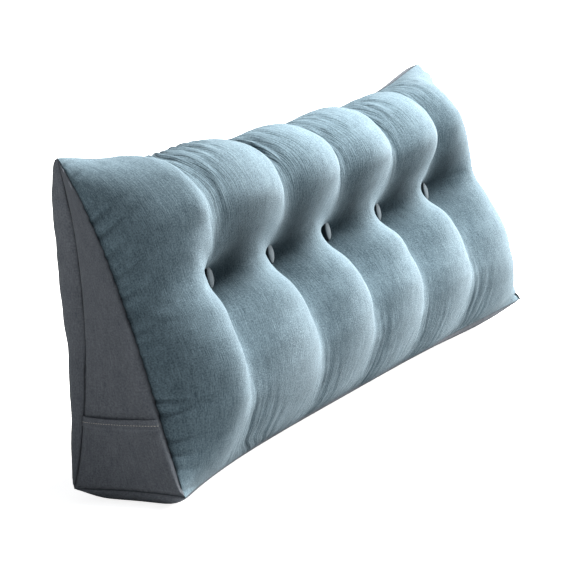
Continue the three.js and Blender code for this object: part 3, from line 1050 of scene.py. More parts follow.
    def end_puckers(self, a: Array, girth: Array) -> Array:
        """Small puckers across the two end seams.

        Args:
            a: Place along the length.
            girth: Place on the girth.

        Returns:
            How far the cloth moves out, in metres.
        """
        push = np.zeros_like(a)
        inward = (1 - np.abs(a)) * self.form.half * self.end_stretch
        spots = np.arange(*self.pucker_girth, self.pucker_spacing / self.end_girth)
        for side in (-1, 1):
            near = np.exp(-inward / self.pucker_reach) * (np.sign(a) == side)
            for spot in spots:
                jitter = self.chance.normal(0, 1, 4)
                slant = self.pucker_slant * inward * jitter[1]
                middle = spot + self.pucker_stray * jitter[0] + slant
                width = self.pucker_width * self.pucker_widths.share(jitter[2])
                depth = self.pucker_depth * self.pucker_depths.share(jitter[3])
                push -= depth * near * np.exp(-(((girth - middle) / width) ** 2))
        return push

    def sway(self, points: Array) -> Array:
        """Slow unevenness of a hand-filled cushion.

        Args:
            points: Points, N by 3.

        Returns:
            How far the cloth moves out, in metres.
        """
        push = np.zeros(len(points))
        longest = self.sway_lengths[0]
        for length in self.sway_lengths:
            heading = self.chance.normal(0, 1, 3)
            heading /= np.linalg.norm(heading)
            turn = points @ heading * 2 * np.pi / length + self.chance.uniform(0, 2 * np.pi)
            push += np.sin(turn) * self.sway_depth * (length / longest) ** self.sway_power
        return push


@dataclass(frozen=True)
class ClothSlack:
    """How much longer the cut cloth is than the form it fills, as shares of its length."""

    all_over: float = 0.003
    ridge_gather: float = 0.04
    ridge_reach: float = 0.16
    foot_gather: float = 0.02
    foot_reach: float = 0.12
    valley_share: float = 0.55


@dataclass(frozen=True)
class ClothSettling:
    """How the cloth is left to settle under the filling's push."""

    frames: int = 20
    push: float = 4.0
    tension: float = 20.0
    shear: float = 20.0 / 3
    bending: float = 0.4
    mass: float = 0.3
    damping: float = 2.0
    quality: int = 6
    most_movement: float = 0.007
    button_hold: float = 0.020


@dataclass(frozen=True)
class Cushion:
    """The filled cushion: tufted front, crowned back, base and two end panels in one skin."""

    form: WedgeForm = WedgeForm()
    grid: SkinGrid = SkinGrid()
    slack: ClothSlack = ClothSlack()
    settling: ClothSettling = ClothSettling()
    even_girth: float = 0.3
    even_steps: int = 4001

    def stations(self) -> Array:
        """Places along the length that are evenly spaced on the front's cloth.

        Returns:
            Places from -1 to 1.
        """
        dense = np.sin(np.linspace(-np.pi / 2, np.pi / 2, self.even_steps))
        line = self.form.front(dense, np.full_like(dense, self.even_girth))
        step = np.linalg.norm(np.diff(line, axis=0), axis=1)
        run = np.concatenate([[0], np.cumsum(step)])
        even = np.linspace(0, run[-1], self.grid.columns + 1)
        places = np.interp(even, run, dense)
        places[0], places[-1] = -1.0, 1.0
        return places

    def rows(self, count: int, length: float) -> Array:
        """Places across a panel, even but for one line close to each seam.

        Args:
            count: How many cells.
            length: The panel's length that way, in metres.

        Returns:
            Places from 0 to 1.
        """
        close = self.grid.seam_inset / length
        inner = np.linspace(0, 1, count - 1)[1:-1]
        return np.concatenate([[0, close], inner, [1 - close, 1]])

    def cut_longer(self, grid: Array, share: Array) -> Array:
        """Lengthens a grid along X by a share at each point.

        Args:
            grid: Points, columns by rows by 3.
            share: The extra share of the length at each point.

        Returns:
            The lengthened grid.
        """
        step = np.diff(grid[..., 0], axis=0)
        extra = step * (share[1:] + share[:-1]) / 2
        run = np.concatenate([np.zeros_like(extra[:1]), np.cumsum(extra, axis=0)])
        run -= run[-1:] / 2
        longer = grid.copy()
        longer[..., 0] += run
        return longer

    def front_slack(self, a: Array, girth: Array) -> Array:
        """How much longer the front's cloth is at each point.

        Args:
            a: Place along the length.
            girth: Place on the girth.

        Returns:
            The extra share of the length.
        """
        slack = self.slack
        valley = 1 - self.form.across_lobe(a)
        near = mix(1 - slack.valley_share, 1, valley)
        ridge = slack.ridge_gather * np.exp(-(((1 - girth) / slack.ridge_reach) ** 2))
        foot = slack.foot_gather * np.exp(-((girth / slack.foot_reach) ** 2))
        return slack.all_over + (ridge + foot) * near

    def front_hold(self, points: Array) -> Array:
        """How firmly the front's points are held.

        Args:
            points: The points.

        Returns:
            1 on the seams and under the buttons.
        """
        hold = self.edge_hold(points)
        for index in range(len(BUTTONS)):
            away = np.linalg.norm(points - CoveredButton().spot(self.form, index), axis=-1)
            hold = np.maximum(hold, (away < self.settling.button_hold) * 1.0)
        return hold

    def build(self) -> bpy.types.Object:
        """Builds the cushion.

        Returns:
            The cushion object.
        """
        form, grid = self.form, self.grid
        a = self.stations()
        front_rows = self.rows(grid.front_rows, form.front_girth)
        back_rows = self.rows(grid.back_rows, form.back_height)
        base_rows = self.rows(grid.base_rows, form.base_depth)
        a_front, girth = np.meshgrid(a, front_rows, indexing="ij")
        a_back, drop = np.meshgrid(a, back_rows, indexing="ij")
        a_base, across = np.meshgrid(a, base_rows, indexing="ij")
        front = form.front(a_front, girth)
        back = form.back(a_back, drop)
        base = form.base(a_base, across)
        skin = Skin()
        index_front = skin.add_grid(
            front,
            self.cut_longer(front, self.front_slack(a_front, girth)),
            self.front_hold(front),
            np.stack([a_front, girth], axis=-1),
            0,
        )
        index_back = skin.add_grid(
            back,
            self.cut_longer(back, self.slack.all_over + 0 * drop),
            self.edge_hold(back),
            np.stack([a_back, 1 + drop], axis=-1),
            1,
        )
        place = np.stack([a_base, 2 + across], axis=-1)
        index_base = skin.add_grid(base, base, np.ones_like(across), place, 1)
        for side, column in ((-1, 0), (1, -1)):
            index_end = self.add_end(skin, side)
            loop = [
                *index_front[column, :],
                *index_back[column, 1:],
                *index_base[column, 1:-1],
            ]
            skin.zip_loops(loop, grid_rim(index_end), 1, flip=side > 0)
        mesh, rest, hold = skin.to_mesh("cushion")
        obj = new_object("cushion", mesh)
        LOG.info("cushion: %d points, %d faces", len(mesh.vertices), len(mesh.polygons))
        self.settle(obj, rest, hold)
        self.refine(obj)
        Creasing(self.form).apply(obj)
        return obj

    def refine(self, obj: bpy.types.Object) -> None:
        """Halves the cells of the cloth once, smoothly.

        Args:
            obj: The cushion.
        """
        modifier = obj.modifiers.new("finer", "SUBSURF")
        modifier.levels = modifier.render_levels = 1
        modifier.boundary_smooth = "PRESERVE_CORNERS"
        apply_modifier(obj, modifier)

    def edge_hold(self, grid: Array) -> Array:
        """Holds a panel along its seams.

        Args:
            grid: The panel's points.

        Returns:
            1 on its outermost two lines, 0 inside.
        """
        hold = np.zeros(grid.shape[:2])
        hold[:2, :] = hold[-2:, :] = 1
        hold[:, :2] = hold[:, -2:] = 1
        return hold

    def add_end(self, skin: Skin, side: int) -> Array:
        """Adds one end panel's cloth, set in a little from its seams.

        Args:
            skin: The skin to add to.
            side: -1 for the left end, 1 for the right.

        Returns:
            The numbers of the panel's points.
        """
        grid = self.grid
        heights = np.linspace(grid.end_start, grid.end_finish, grid.end_rows + 1)
        share = np.linspace(0, 1, grid.end_columns + 1)
        row, column = np.meshgrid(heights, share, indexing="ij")
        behind = self.form.end(side, heights, np.ones_like(heights))
        before = self.form.end(side, heights, np.zeros_like(heights))
        width = np.linalg.norm(behind - before, axis=-1)
        edge = np.minimum(grid.seam_inset / width, grid.most_inset)[:, None]
        points = self.form.end(side, row, mix(edge, 1 - edge, column))
        place = np.stack([np.full_like(row, float(side)), 4 + row], axis=-1)
        hold = np.ones(points.shape[:2])
        return skin.add_grid(points, points, hold, place, 1, flip=side > 0, turn_uv=True)

    def settle(self, obj: bpy.types.Object, rest: Array, hold: Array) -> None:
        """Lets the cloth settle over the filling, held at its seams and buttons.

        Args:
            obj: The cushion.
            rest: Its unstretched points.
            hold: How firmly each point is held.
        """
        way = self.settling
        mesh = obj.data
        start = read_values(mesh.vertices, "co", 3)
        obj.shape_key_add(name="filled")
        cut = obj.shape_key_add(name="cut")
        cut.data.foreach_set("co", rest.astype(np.float32).ravel())
        group = obj.vertex_groups.new(name="held")
        for level in np.unique(hold[hold > 0]):
            group.add(np.where(hold == level)[0].tolist(), float(level), "REPLACE")
        modifier = obj.modifiers.new("settling", "CLOTH")
        cloth = modifier.settings
        cloth.rest_shape_key = cut
        cloth.vertex_group_mass = group.name
        cloth.quality = way.quality
        cloth.mass = way.mass
        cloth.air_damping = way.damping
        cloth.tension_stiffness = way.tension
        cloth.compression_stiffness = way.tension
        cloth.shear_stiffness = way.shear
        cloth.bending_stiffness = way.bending
        cloth.use_pressure = True
        cloth.uniform_pressure_force = way.push
        cloth.effector_weights.gravity = 0
        modifier.collision_settings.use_collision = False
        modifier.collision_settings.use_self_collision = False
        modifier.point_cache.frame_start = 1
        modifier.point_cache.frame_end = way.frames
        scene = bpy.context.scene
        for frame in range(1, way.frames + 1):
            scene.frame_set(frame)
        shown = obj.evaluated_get(bpy.context.evaluated_depsgraph_get())
        settled = read_values(shown.data.vertices, "co", 3)
        scene.frame_set(1)
        obj.modifiers.remove(modifier)
        obj.shape_key_clear()
        obj.vertex_groups.remove(group)
        moved = settled - start
        size = np.linalg.norm(moved, axis=1, keepdims=True)
        LOG.info("settled: median %.1f mm, most %.1f mm", np.median(size) * 1e3, size.max() * 1e3)
        allowed = np.tanh(size / way.most_movement) * way.most_movement
        placed = start + moved * (allowed / np.maximum(size, 1e-9))
        mesh.vertices.foreach_set("co", placed.astype(np.float32).ravel())
        mesh.update()


@dataclass(frozen=True)
class ButtonPlace:
    """How far one button is tied off its even place: along the length and up."""

    shift_x: float
    shift_z: float


BUTTONS: tuple[ButtonPlace, ...] = (
    ButtonPlace(0.000, -0.006),
    ButtonPlace(-0.004, -0.001),
    ButtonPlace(0.000, 0.000),
    ButtonPlace(-0.002, -0.002),
    ButtonPlace(0.000, -0.006),
)


@dataclass(frozen=True)
class CoveredButton:
    """A domed button covered in the cushion's cloth."""

    radius: float = 0.0178
    dome: float = 0.006
    edge: float = 0.008
    back: float = 0.0045
    tilt: float = math.radians(11)
    turned: float = math.radians(14)
    stand: float = 0.0055
    sides: int = 48
    rings: int = 14
    under_shares: tuple[float, ...] = (0.0, 0.6, 0.92, 0.98, 1.0, 1.0)
    under_back: float = 0.65
    lip: tuple[float, float] = (0.0006, 0.002)
    cloth_step: float = 0.13
    # Where the painted shade starts towards the rim, and how wide it runs.
    shade_start: float = 0.84
    shade_span: float = 0.16

    def place(self, form: WedgeForm, index: int) -> Matrix:
        """Where a button sits.

        Args:
            form: The cushion's form.
            index: The button's number, from the left.

        Returns:
            Its place, with Z along its shank and outwards.
        """
        a = np.array((index - (len(BUTTONS) - 1) / 2) * 2 / form.lobes)
        seat = form.front(a, np.array(form.button_girth))
        tied = BUTTONS[index]
        shift = Vector((tied.shift_x, tied.shift_z * math.sin(self.tilt), tied.shift_z))
        aside = Matrix.Rotation(self.turned, 4, "Z")
        upright = Matrix.Rotation(math.pi / 2 - self.tilt, 4, "X")
        out = Matrix.Translation((0, 0, self.stand))
        return Matrix.Translation(Vector(seat.tolist()) + shift) @ (aside @ upright) @ out

    def spot(self, form: WedgeForm, index: int) -> Array:
        """The point that a button sits at.

        Args:
            form: The cushion's form.
            index: The button's number, from the left.

        Returns:
            The point.
        """
        return np.array(self.place(form, index).translation)

    def build(self, form: WedgeForm, index: int) -> bpy.types.Object:
        """Builds one button.

        Args:
            form: The cushion's form.
            index: The button's number, from the left.

        Returns:
            The button object.
        """
        turn = np.linspace(0, np.pi / 2, self.rings)[1:]
        under = self.radius * np.array(self.under_shares)
        low = np.array([-self.back, -self.under_back * self.back, 0, *self.lip, self.edge])
        radius = np.concatenate([under, self.radius * np.cos(turn)])
        height = np.concatenate([low, self.edge + self.dome * np.sin(turn)])
        angle = np.linspace(0, 2 * np.pi, self.sides, endpoint=False)
        bm = bmesh.new()
        rings = []
        for r, h in zip(radius, height):
            if r < 1e-6:
                rings.append([bm.verts.new((0, 0, h))])
            else:
                rings.append([bm.verts.new((r * math.cos(t), r * math.sin(t), h)) for t in angle])
        for near, far in zip(rings[:-1], rings[1:]):
            for k in range(self.sides):
                n = (k + 1) % self.sides
                side = [near[k % len(near)], near[n % len(near)]]
                side += [far[n % len(far)], far[k % len(far)]]
                bm.faces.new(list(dict.fromkeys(side)))
        name = f"covered_button_{index + 1}"
        mesh = bpy.data.meshes.new(name)
        bm.normal_update()
        bm.to_mesh(mesh)
        bm.free()
        flat = np.array([v.co[:2] for v in mesh.vertices])
        add_cloth_map(mesh, flat[loop_points(mesh)] + index * self.cloth_step)
        out = np.linalg.norm(flat, axis=1) / self.radius
        # Painted shade: the "seam" value darkens the cloth towards the rim, for the shadow gap
        # round the button.
        add_point_value(mesh, "seam", smooth((out - self.shade_start) / self.shade_span))
        mesh.transform(self.place(form, index))
        shade_smooth(mesh)
        return new_object(name, mesh)


@dataclass(frozen=True)
class PhotoCamera:
    """The camera that the photograph was fitted with."""

    place: tuple[float, float, float] = (-3.55, -1.5980, 0.917)
    yaw: float = 64.9
    pitch: float = 10.4
    roll: float = -2.15
    focal_share: float = 2225.0 / 573.0
    sensor: float = 36.0
    nearest: float = 0.1
    farthest: float = 60.0

    def build(self) -> bpy.types.Object:
        """Makes the camera and sets it as the scene's.

        Returns:
            The camera object.
        """
        yaw, pitch, roll = (math.radians(v) for v in (self.yaw, self.pitch, self.roll))
        level = math.cos(pitch)
        ahead = Vector((math.sin(yaw) * level, math.cos(yaw) * level, -math.sin(pitch)))
        right = Vector((math.cos(yaw), -math.sin(yaw), 0))
        up = right.cross(ahead)
        tilted_right = right * math.cos(roll) + up * math.sin(roll)
        tilted_up = up * math.cos(roll) - right * math.sin(roll)
        turn = Matrix((tilted_right, tilted_up, -ahead)).transposed().to_4x4()
        data = bpy.data.cameras.new("photo_camera")
        data.sensor_width = self.sensor
        data.lens = self.focal_share * self.sensor
        data.clip_start, data.clip_end = self.nearest, self.farthest
        camera = bpy.data.objects.new("photo_camera", data)
        camera.matrix_world = Matrix.Translation(self.place) @ turn
        bpy.context.scene.collection.objects.link(camera)
        bpy.context.scene.camera = camera
        return camera


@dataclass(frozen=True)
class Lamp:
    """A soft studio lamp: where it stands, what it looks at, its size and its power."""

    name: str
    place: tuple[float, float, float]
    target: tuple[float, float, float]
    size: float
    watts: float


LAMPS: tuple[Lamp, ...] = (
    Lamp("side_lamp", (3.05, -1.43, 1.10), (0.1, 0.0, 0.25), 1.25, 375.0),
    Lamp("top_lamp", (0.10, -0.32, 1.30), (0.06, 0.0, 0.45), 0.5, 23.0),
)


@dataclass(frozen=True)
class Studio:
    """A pale floor under soft light."""

    floor_size: float = 120.0
    daylight: tuple[float, float, float] = (1.0, 0.985, 0.96)
    sky_color: tuple[float, float, float] = (0.93, 0.96, 1.0)
    sky_strength: float = 0.24
    sky_shown: float = 1.1
    floor_bounce: tuple[float, float, float] = (0.38, 0.38, 0.38)
    floor_shown: tuple[float, float, float] = (0.82, 0.82, 0.82)
    floor_glow: float = 0.86
    floor_roughness: float = 0.9
    key_heading: tuple[float, float, float] = (0.42, -0.26, 0.87)
    key_strength: float = 8.0
    key_softness: float = math.radians(24)

    def build(self) -> None:
        """Makes the floor, the lamps and the sky."""
        key = bpy.data.lights.new("key_light", "SUN")
        key.energy = self.key_strength
        key.angle = self.key_softness
        self.hang(key, (0.0, 0.0, 0.0), -Vector(self.key_heading))
        half = self.floor_size / 2
        corners = [(-half, -half, 0), (half, -half, 0), (half, half, 0), (-half, half, 0)]
        mesh = bpy.data.meshes.new("studio_floor")
        mesh.from_pydata(corners, [], [(0, 1, 2, 3)])
        floor = new_object("studio_floor", mesh)
        floor.data.materials.append(self.floor_finish())
        for lamp in LAMPS:
            data = bpy.data.lights.new(lamp.name, "AREA")
            data.shape = "DISK"
            data.size = lamp.size
            data.energy = lamp.watts
            self.hang(data, lamp.place, Vector(lamp.target) - Vector(lamp.place))
        world = bpy.data.worlds.new("studio_sky")
        world.use_nodes = True
        sky = world.node_tree.nodes["Background"]
        sky.inputs["Color"].default_value = (*self.sky_color, 1.0)
        tree = NodeTree(world.node_tree)
        shown = tree.add("ShaderNodeLightPath").outputs["Is Camera Ray"]
        more = self.sky_shown - self.sky_strength
        tree.link(tree.math("MULTIPLY_ADD", shown, more, self.sky_strength), sky.inputs["Strength"])
        bpy.context.scene.world = world

    def hang(self, data: bpy.types.Light, place: tuple[float, float, float], aim: Vector) -> None:
        """Hangs one lamp in daylight's colour, out of the camera's sight.

        Args:
            data: The light.
            place: Where it stands.
            aim: The way it shines.
        """
        data.color = self.daylight
        lamp = bpy.data.objects.new(data.name, data)
        lamp.location = place
        lamp.visible_camera = False
        lamp.rotation_mode = "QUATERNION"
        lamp.rotation_quaternion = aim.to_track_quat("-Z", "Y")
        bpy.context.scene.collection.objects.link(lamp)

    def floor_finish(self) -> bpy.types.Material:
        """Matt floor that shows near white but throws little light back up.

        Returns:
            The material.
        """
        material, tree, shader = new_material("floor_white")
        shown = tree.add("ShaderNodeLightPath").outputs["Is Camera Ray"]
        color = tree.blend(shown, (*self.floor_bounce, 1.0), (*self.floor_shown, 1.0))
        tree.link(color, shader.inputs["Base Color"])
        tree.link(tree.math("MULTIPLY", shown, self.floor_glow), shader.inputs["Emission Strength"])
        shader.inputs["Emission Color"].default_value = (1.0, 1.0, 1.0, 1.0)
        shader.inputs["Roughness"].default_value = self.floor_roughness
        shader.inputs["Specular IOR Level"].default_value = 0.0
        return material


class Noise(NamedTuple):
    """One layer of the cloth's unevenness: how fine across and along the warp, and how rough."""

    across: float
    along: float
    detail: float = 2.0
    roughness: float = 0.5


@dataclass(frozen=True)
class NodeTree:
    """A short way to write a node tree: adds nodes and links them."""

    tree: bpy.types.NodeTree

    def add(self, kind: str, settings: dict | None = None, **inputs: object) -> bpy.types.Node:
        """Adds a node, sets it up and links or sets its inputs.

        Args:
            kind: The node's type name.
            settings: Values of the node's own properties.
            **inputs: Input names with underscores for spaces, or in_0, in_1 for numbers.

        Returns:
            The node.
        """
        node = self.tree.nodes.new(kind)
        for key, value in (settings or {}).items():
            setattr(node, key, value)
        for key, value in inputs.items():
            name = int(key[3:]) if key.startswith("in_") else key.replace("_", " ")
            socket = node.inputs[name]
            if isinstance(value, bpy.types.NodeSocket):
                self.tree.links.new(value, socket)
            else:
                socket.default_value = value
        return node

    def link(self, output: bpy.types.NodeSocket, socket: bpy.types.NodeSocket) -> None:
        """Links an output to an input."""
        self.tree.links.new(output, socket)

    def math(self, operation: str, *values: object, clamp: bool = False) -> bpy.types.NodeSocket:
        """Adds a math node.

        Args:
            operation: The node's operation.
            *values: Up to three numbers or sockets.
            clamp: True to keep the result from 0 to 1.

        Returns:
            Its output.
        """
        inputs = {f"in_{k}": value for k, value in enumerate(values)}
        settings = {"operation": operation, "use_clamp": clamp}
        return self.add("ShaderNodeMath", settings, **inputs).outputs[0]

    def blend(self, share: object, low: object, high: object) -> bpy.types.NodeSocket:
        """Blends two colours.

        Args:
            share: How far from the first to the second.
            low: The first colour or its socket.
            high: The second colour or its socket.

        Returns:
            The blended colour.
        """
        settings = {"data_type": "RGBA"}
        node = self.add("ShaderNodeMix", settings, Factor=share, in_6=low, in_7=high)
        return node.outputs[2]

    def attribute(self, name: str) -> bpy.types.NodeSocket:
        """Reads one number of the mesh's points by its name."""
        return self.add("ShaderNodeAttribute", {"attribute_name": name}).outputs["Fac"]

    def noise(self, cloth: bpy.types.NodeSocket, layer: Noise) -> bpy.types.NodeSocket:
        """Adds one layer of flat noise on the cloth.

        Args:
            cloth: The place on the cloth.
            layer: How fine and how rough it is.

        Returns:
            The noise's value.
        """
        scale = (layer.across, layer.along, 0.0)
        settings = {"operation": "MULTIPLY"}
        scaled = self.add("ShaderNodeVectorMath", settings, in_0=cloth, in_1=scale).outputs[0]
        node = self.add(
            "ShaderNodeTexNoise",
            {"noise_dimensions": "2D"},
            Vector=scaled,
            Scale=1.0,
            Detail=layer.detail,
            Roughness=layer.roughness,
        )
        return node.outputs[0]


def new_material(name: str) -> tuple[bpy.types.Material, NodeTree, bpy.types.Node]:
    """Makes a material with a plain surface shader.

    Args:
        name: The material's name.

    Returns:
        The material, its tree and its shader.
    """
    material = bpy.data.materials.new(name)
    material.use_nodes = True
    return material, NodeTree(material.node_tree), material.node_tree.nodes["Principled BSDF"]


@dataclass(frozen=True)
class LinenWeave:
    """The linen weave that all finishes share: its tone, its mottle, its height and its gathers."""

    warp_slub: Noise = Noise(620.0, 60.0)
    weft_slub: Noise = Noise(70.0, 560.0)
    heather: Noise = Noise(170.0, 26.0, 4.0, 0.62)
    fleck: Noise = Noise(420.0, 330.0, 2.0, 0.6)
    mottle: Noise = Noise(55.0, 38.0, 3.0, 0.6)
    gathers: Noise = Noise(150.0, 6.0, 2.0, 0.55)
    warp_share: float = 0.25
    fleck_share: float = 0.55
    heather_share: float = 0.20
    thread_share: float = 0.35
    slub_share: float = 0.65
    gather_fineness: float = 14.0

    def build(self) -> bpy.types.NodeTree:
        """Makes the node group.

        Returns:
            The group, with the place on the cloth and the threads' pitch as its inputs.
        """
        group = bpy.data.node_groups.new("linen_weave", "ShaderNodeTree")
        face = group.interface
        face.new_socket("Cloth", in_out="INPUT", socket_type="NodeSocketVector")
        face.new_socket("Pitch", in_out="INPUT", socket_type="NodeSocketFloat")
        for name in ("Streak", "Mottle", "Height", "Lines"):
            face.new_socket(name, in_out="OUTPUT", socket_type="NodeSocketFloat")
        tree = NodeTree(group)
        inlet = tree.add("NodeGroupInput")
        cloth = inlet.outputs["Cloth"]
        warp_slub = tree.noise(cloth, self.warp_slub)
        parts = tree.add("ShaderNodeSeparateXYZ", None, Vector=cloth)
        turn = tree.math("DIVIDE", 2 * math.pi, inlet.outputs["Pitch"])
        warp = tree.math("SINE", tree.math("MULTIPLY", parts.outputs["X"], turn))
        weft = tree.math("SINE", tree.math("MULTIPLY", parts.outputs["Y"], turn))
        threads = tree.math("MULTIPLY_ADD", tree.math("MULTIPLY", warp, weft), 0.5, 0.5)
        heather = tree.math("MULTIPLY", tree.noise(cloth, self.heather), self.heather_share)
        fleck = tree.noise(cloth, self.fleck)
        flecked = tree.math("MULTIPLY_ADD", fleck, self.fleck_share, heather)
        slubs = tree.math("ADD", warp_slub, tree.noise(cloth, self.weft_slub))
        slubs = tree.math("MULTIPLY", slubs, self.slub_share)
        # Fine streak lines, for the gathers' bump and their painted crease shade.
        away = tree.math("SUBTRACT", tree.noise(cloth, self.gathers), 0.5)
        away = tree.math("MULTIPLY", tree.math("ABSOLUTE", away), self.gather_fineness)
        tree.add(
            "NodeGroupOutput",
            None,
            Streak=tree.math("MULTIPLY_ADD", warp_slub, self.warp_share, flecked),
            Mottle=tree.noise(cloth, self.mottle),
            Height=tree.math("MULTIPLY_ADD", threads, self.thread_share, slubs),
            Lines=tree.math("SUBTRACT", 1.0, away, clamp=True),
        )
        return group


@dataclass(frozen=True)
class ClothFinish:
    """One cloth finish: its colours, how mixed they are, how its weave stands out, and the shade it
    paints.
    """

    name: str
    dark: tuple[float, float, float]
    light: tuple[float, float, float]
    spread: float
    mottle: float
    pitch: float
    relief: float
    sheen: float
    gloss: float = 0.15
    # Painted shade: how dark it gets along the seams, in the tufts and in the gathered lines, and
    # its colour as a share of dark.
    seam_shade: float = 0.9
    seam_power: float = 3.0
    tuft_shade_most: float = 0.90
    gather_shade: float = 0.68
    gather_relief: float = 1.5
    painted_shade_tone: float = 0.18
    thread_height: float = 0.0012
    roughness: float = 0.92
    sheen_roughness: float = 0.55
    sheen_tint: tuple[float, float, float] = (0.80, 0.92, 1.0)

    def build(self, weave: bpy.types.NodeTree) -> bpy.types.Material:
        """Makes the material.

        Args:
            weave: The shared weave group.

        Returns:
            The material.
        """
        material, tree, shader = new_material(self.name)
        cloth = tree.add("ShaderNodeUVMap", {"uv_map": "cloth"}).outputs["UV"]
        settings = {"node_tree": weave}
        pattern = tree.add("ShaderNodeGroup", settings, Cloth=cloth, Pitch=self.pitch).outputs
        middle = 0.5 - self.spread / 2
        streak = tree.math("MULTIPLY_ADD", pattern["Streak"], self.spread, middle)
        mottle = tree.math("MULTIPLY_ADD", pattern["Mottle"], self.mottle, -self.mottle / 2)
        tone = tree.math("ADD", streak, mottle, clamp=True)
        color = tree.blend(tone, (*self.dark, 1.0), (*self.light, 1.0))
        # Painted shade: dark gathered lines, dark seam grooves and button rims, and dark tufts
        # beside the buttons.
        lines = tree.math("MULTIPLY", pattern["Lines"], tree.attribute("gather"))
        seam = tree.math("POWER", tree.attribute("seam"), self.seam_power)
        shade = tree.math("MULTIPLY", seam, self.seam_shade)
        masks = ((lines, self.gather_shade), (tree.attribute("pocket"), self.tuft_shade_most))
        for mask, most in masks:
            shade = tree.math("MAXIMUM", shade, tree.math("MULTIPLY", mask, most))
        # The painted shade's colour, a share of the dark tone.
        deep = (*(c * self.painted_shade_tone for c in self.dark), 1.0)
        height = tree.math("MULTIPLY_ADD", lines, -self.gather_relief, pattern["Height"])
        bump = tree.add(
            "ShaderNodeBump",
            None,
            Strength=self.relief,
            Distance=self.thread_height,
            Height=height,
        )
        # Gloss and sheen fade where shade is painted.
        gloss = tree.math("MULTIPLY_ADD", shade, -self.gloss, self.gloss)
        sheen = tree.math("MULTIPLY_ADD", shade, -self.sheen, self.sheen)
        tree.link(tree.blend(shade, color, deep), shader.inputs["Base Color"])
        tree.link(bump.outputs["Normal"], shader.inputs["Normal"])
        tree.link(gloss, shader.inputs["Specular IOR Level"])
        tree.link(sheen, shader.inputs["Sheen Weight"])
        shader.inputs["Roughness"].default_value = self.roughness
        shader.inputs["Sheen Roughness"].default_value = self.sheen_roughness
        shader.inputs["Sheen Tint"].default_value = (*self.sheen_tint, 1.0)
        return material


class Finish(Enum):
    """The finishes of the cushion's cloths."""

    FRONT = ClothFinish(
        "front_linen", (0.045, 0.074, 0.094), (0.135, 0.195, 0.232), 3.0, 0.6, 0.0018, 0.55, 0.10
    )
    PLAIN = ClothFinish(
        "plain_linen", (0.070, 0.082, 0.099), (0.158, 0.171, 0.193), 2.2, 0.4, 0.0016, 0.55, 0.05
    )
    BUTTON = ClothFinish(
        "button_linen", (0.040, 0.056, 0.068), (0.066, 0.086, 0.100), 0.8, 0.3, 0.0014, 0.30, 0.08
    )


@dataclass(frozen=True)
class ThreadFinish:
    """Pale warm-grey sewing thread."""

    color: tuple[float, float, float] = (0.42, 0.40, 0.37)
    roughness: float = 0.6

    def build(self) -> bpy.types.Material:
        """Makes the material.

        Returns:
            The material.
        """
        material, _, shader = new_material("pale_thread")
        shader.inputs["Base Color"].default_value = (*self.color, 1.0)
        shader.inputs["Roughness"].default_value = self.roughness
        return material


def sheet_mesh(name: str, outer: Array, inner: Array) -> bpy.types.Mesh:
    """A closed sheet of cloth between two grids of points.

    Args:
        name: The mesh's name.
        outer: Its outer points, columns by rows by 3.
        inner: Its inner points in the same order.

    Returns:
        The mesh, with its cloth map.
    """
    columns, rows = outer.shape[:2]
    index = np.arange(columns * rows).reshape(columns, rows)
    quads = grid_quads(index)
    rim = grid_rim(index)
    under = columns * rows
    sides = [(k, k + under, n + under, n) for k, n in zip(rim, rim[1:] + rim[:1])]
    faces = quads.tolist() + (quads[:, ::-1] + under).tolist() + [list(map(int, f)) for f in sides]
    points = np.concatenate([outer.reshape(-1, 3), inner.reshape(-1, 3)])
    mesh = bpy.data.meshes.new(name)
    mesh.from_pydata(points.tolist(), [], faces)
    uv = np.tile(cloth_map(outer, turned=True).reshape(-1, 2), (2, 1))
    add_cloth_map(mesh, uv[loop_points(mesh)])
    shade_smooth(mesh)
    mesh.update()
    return mesh


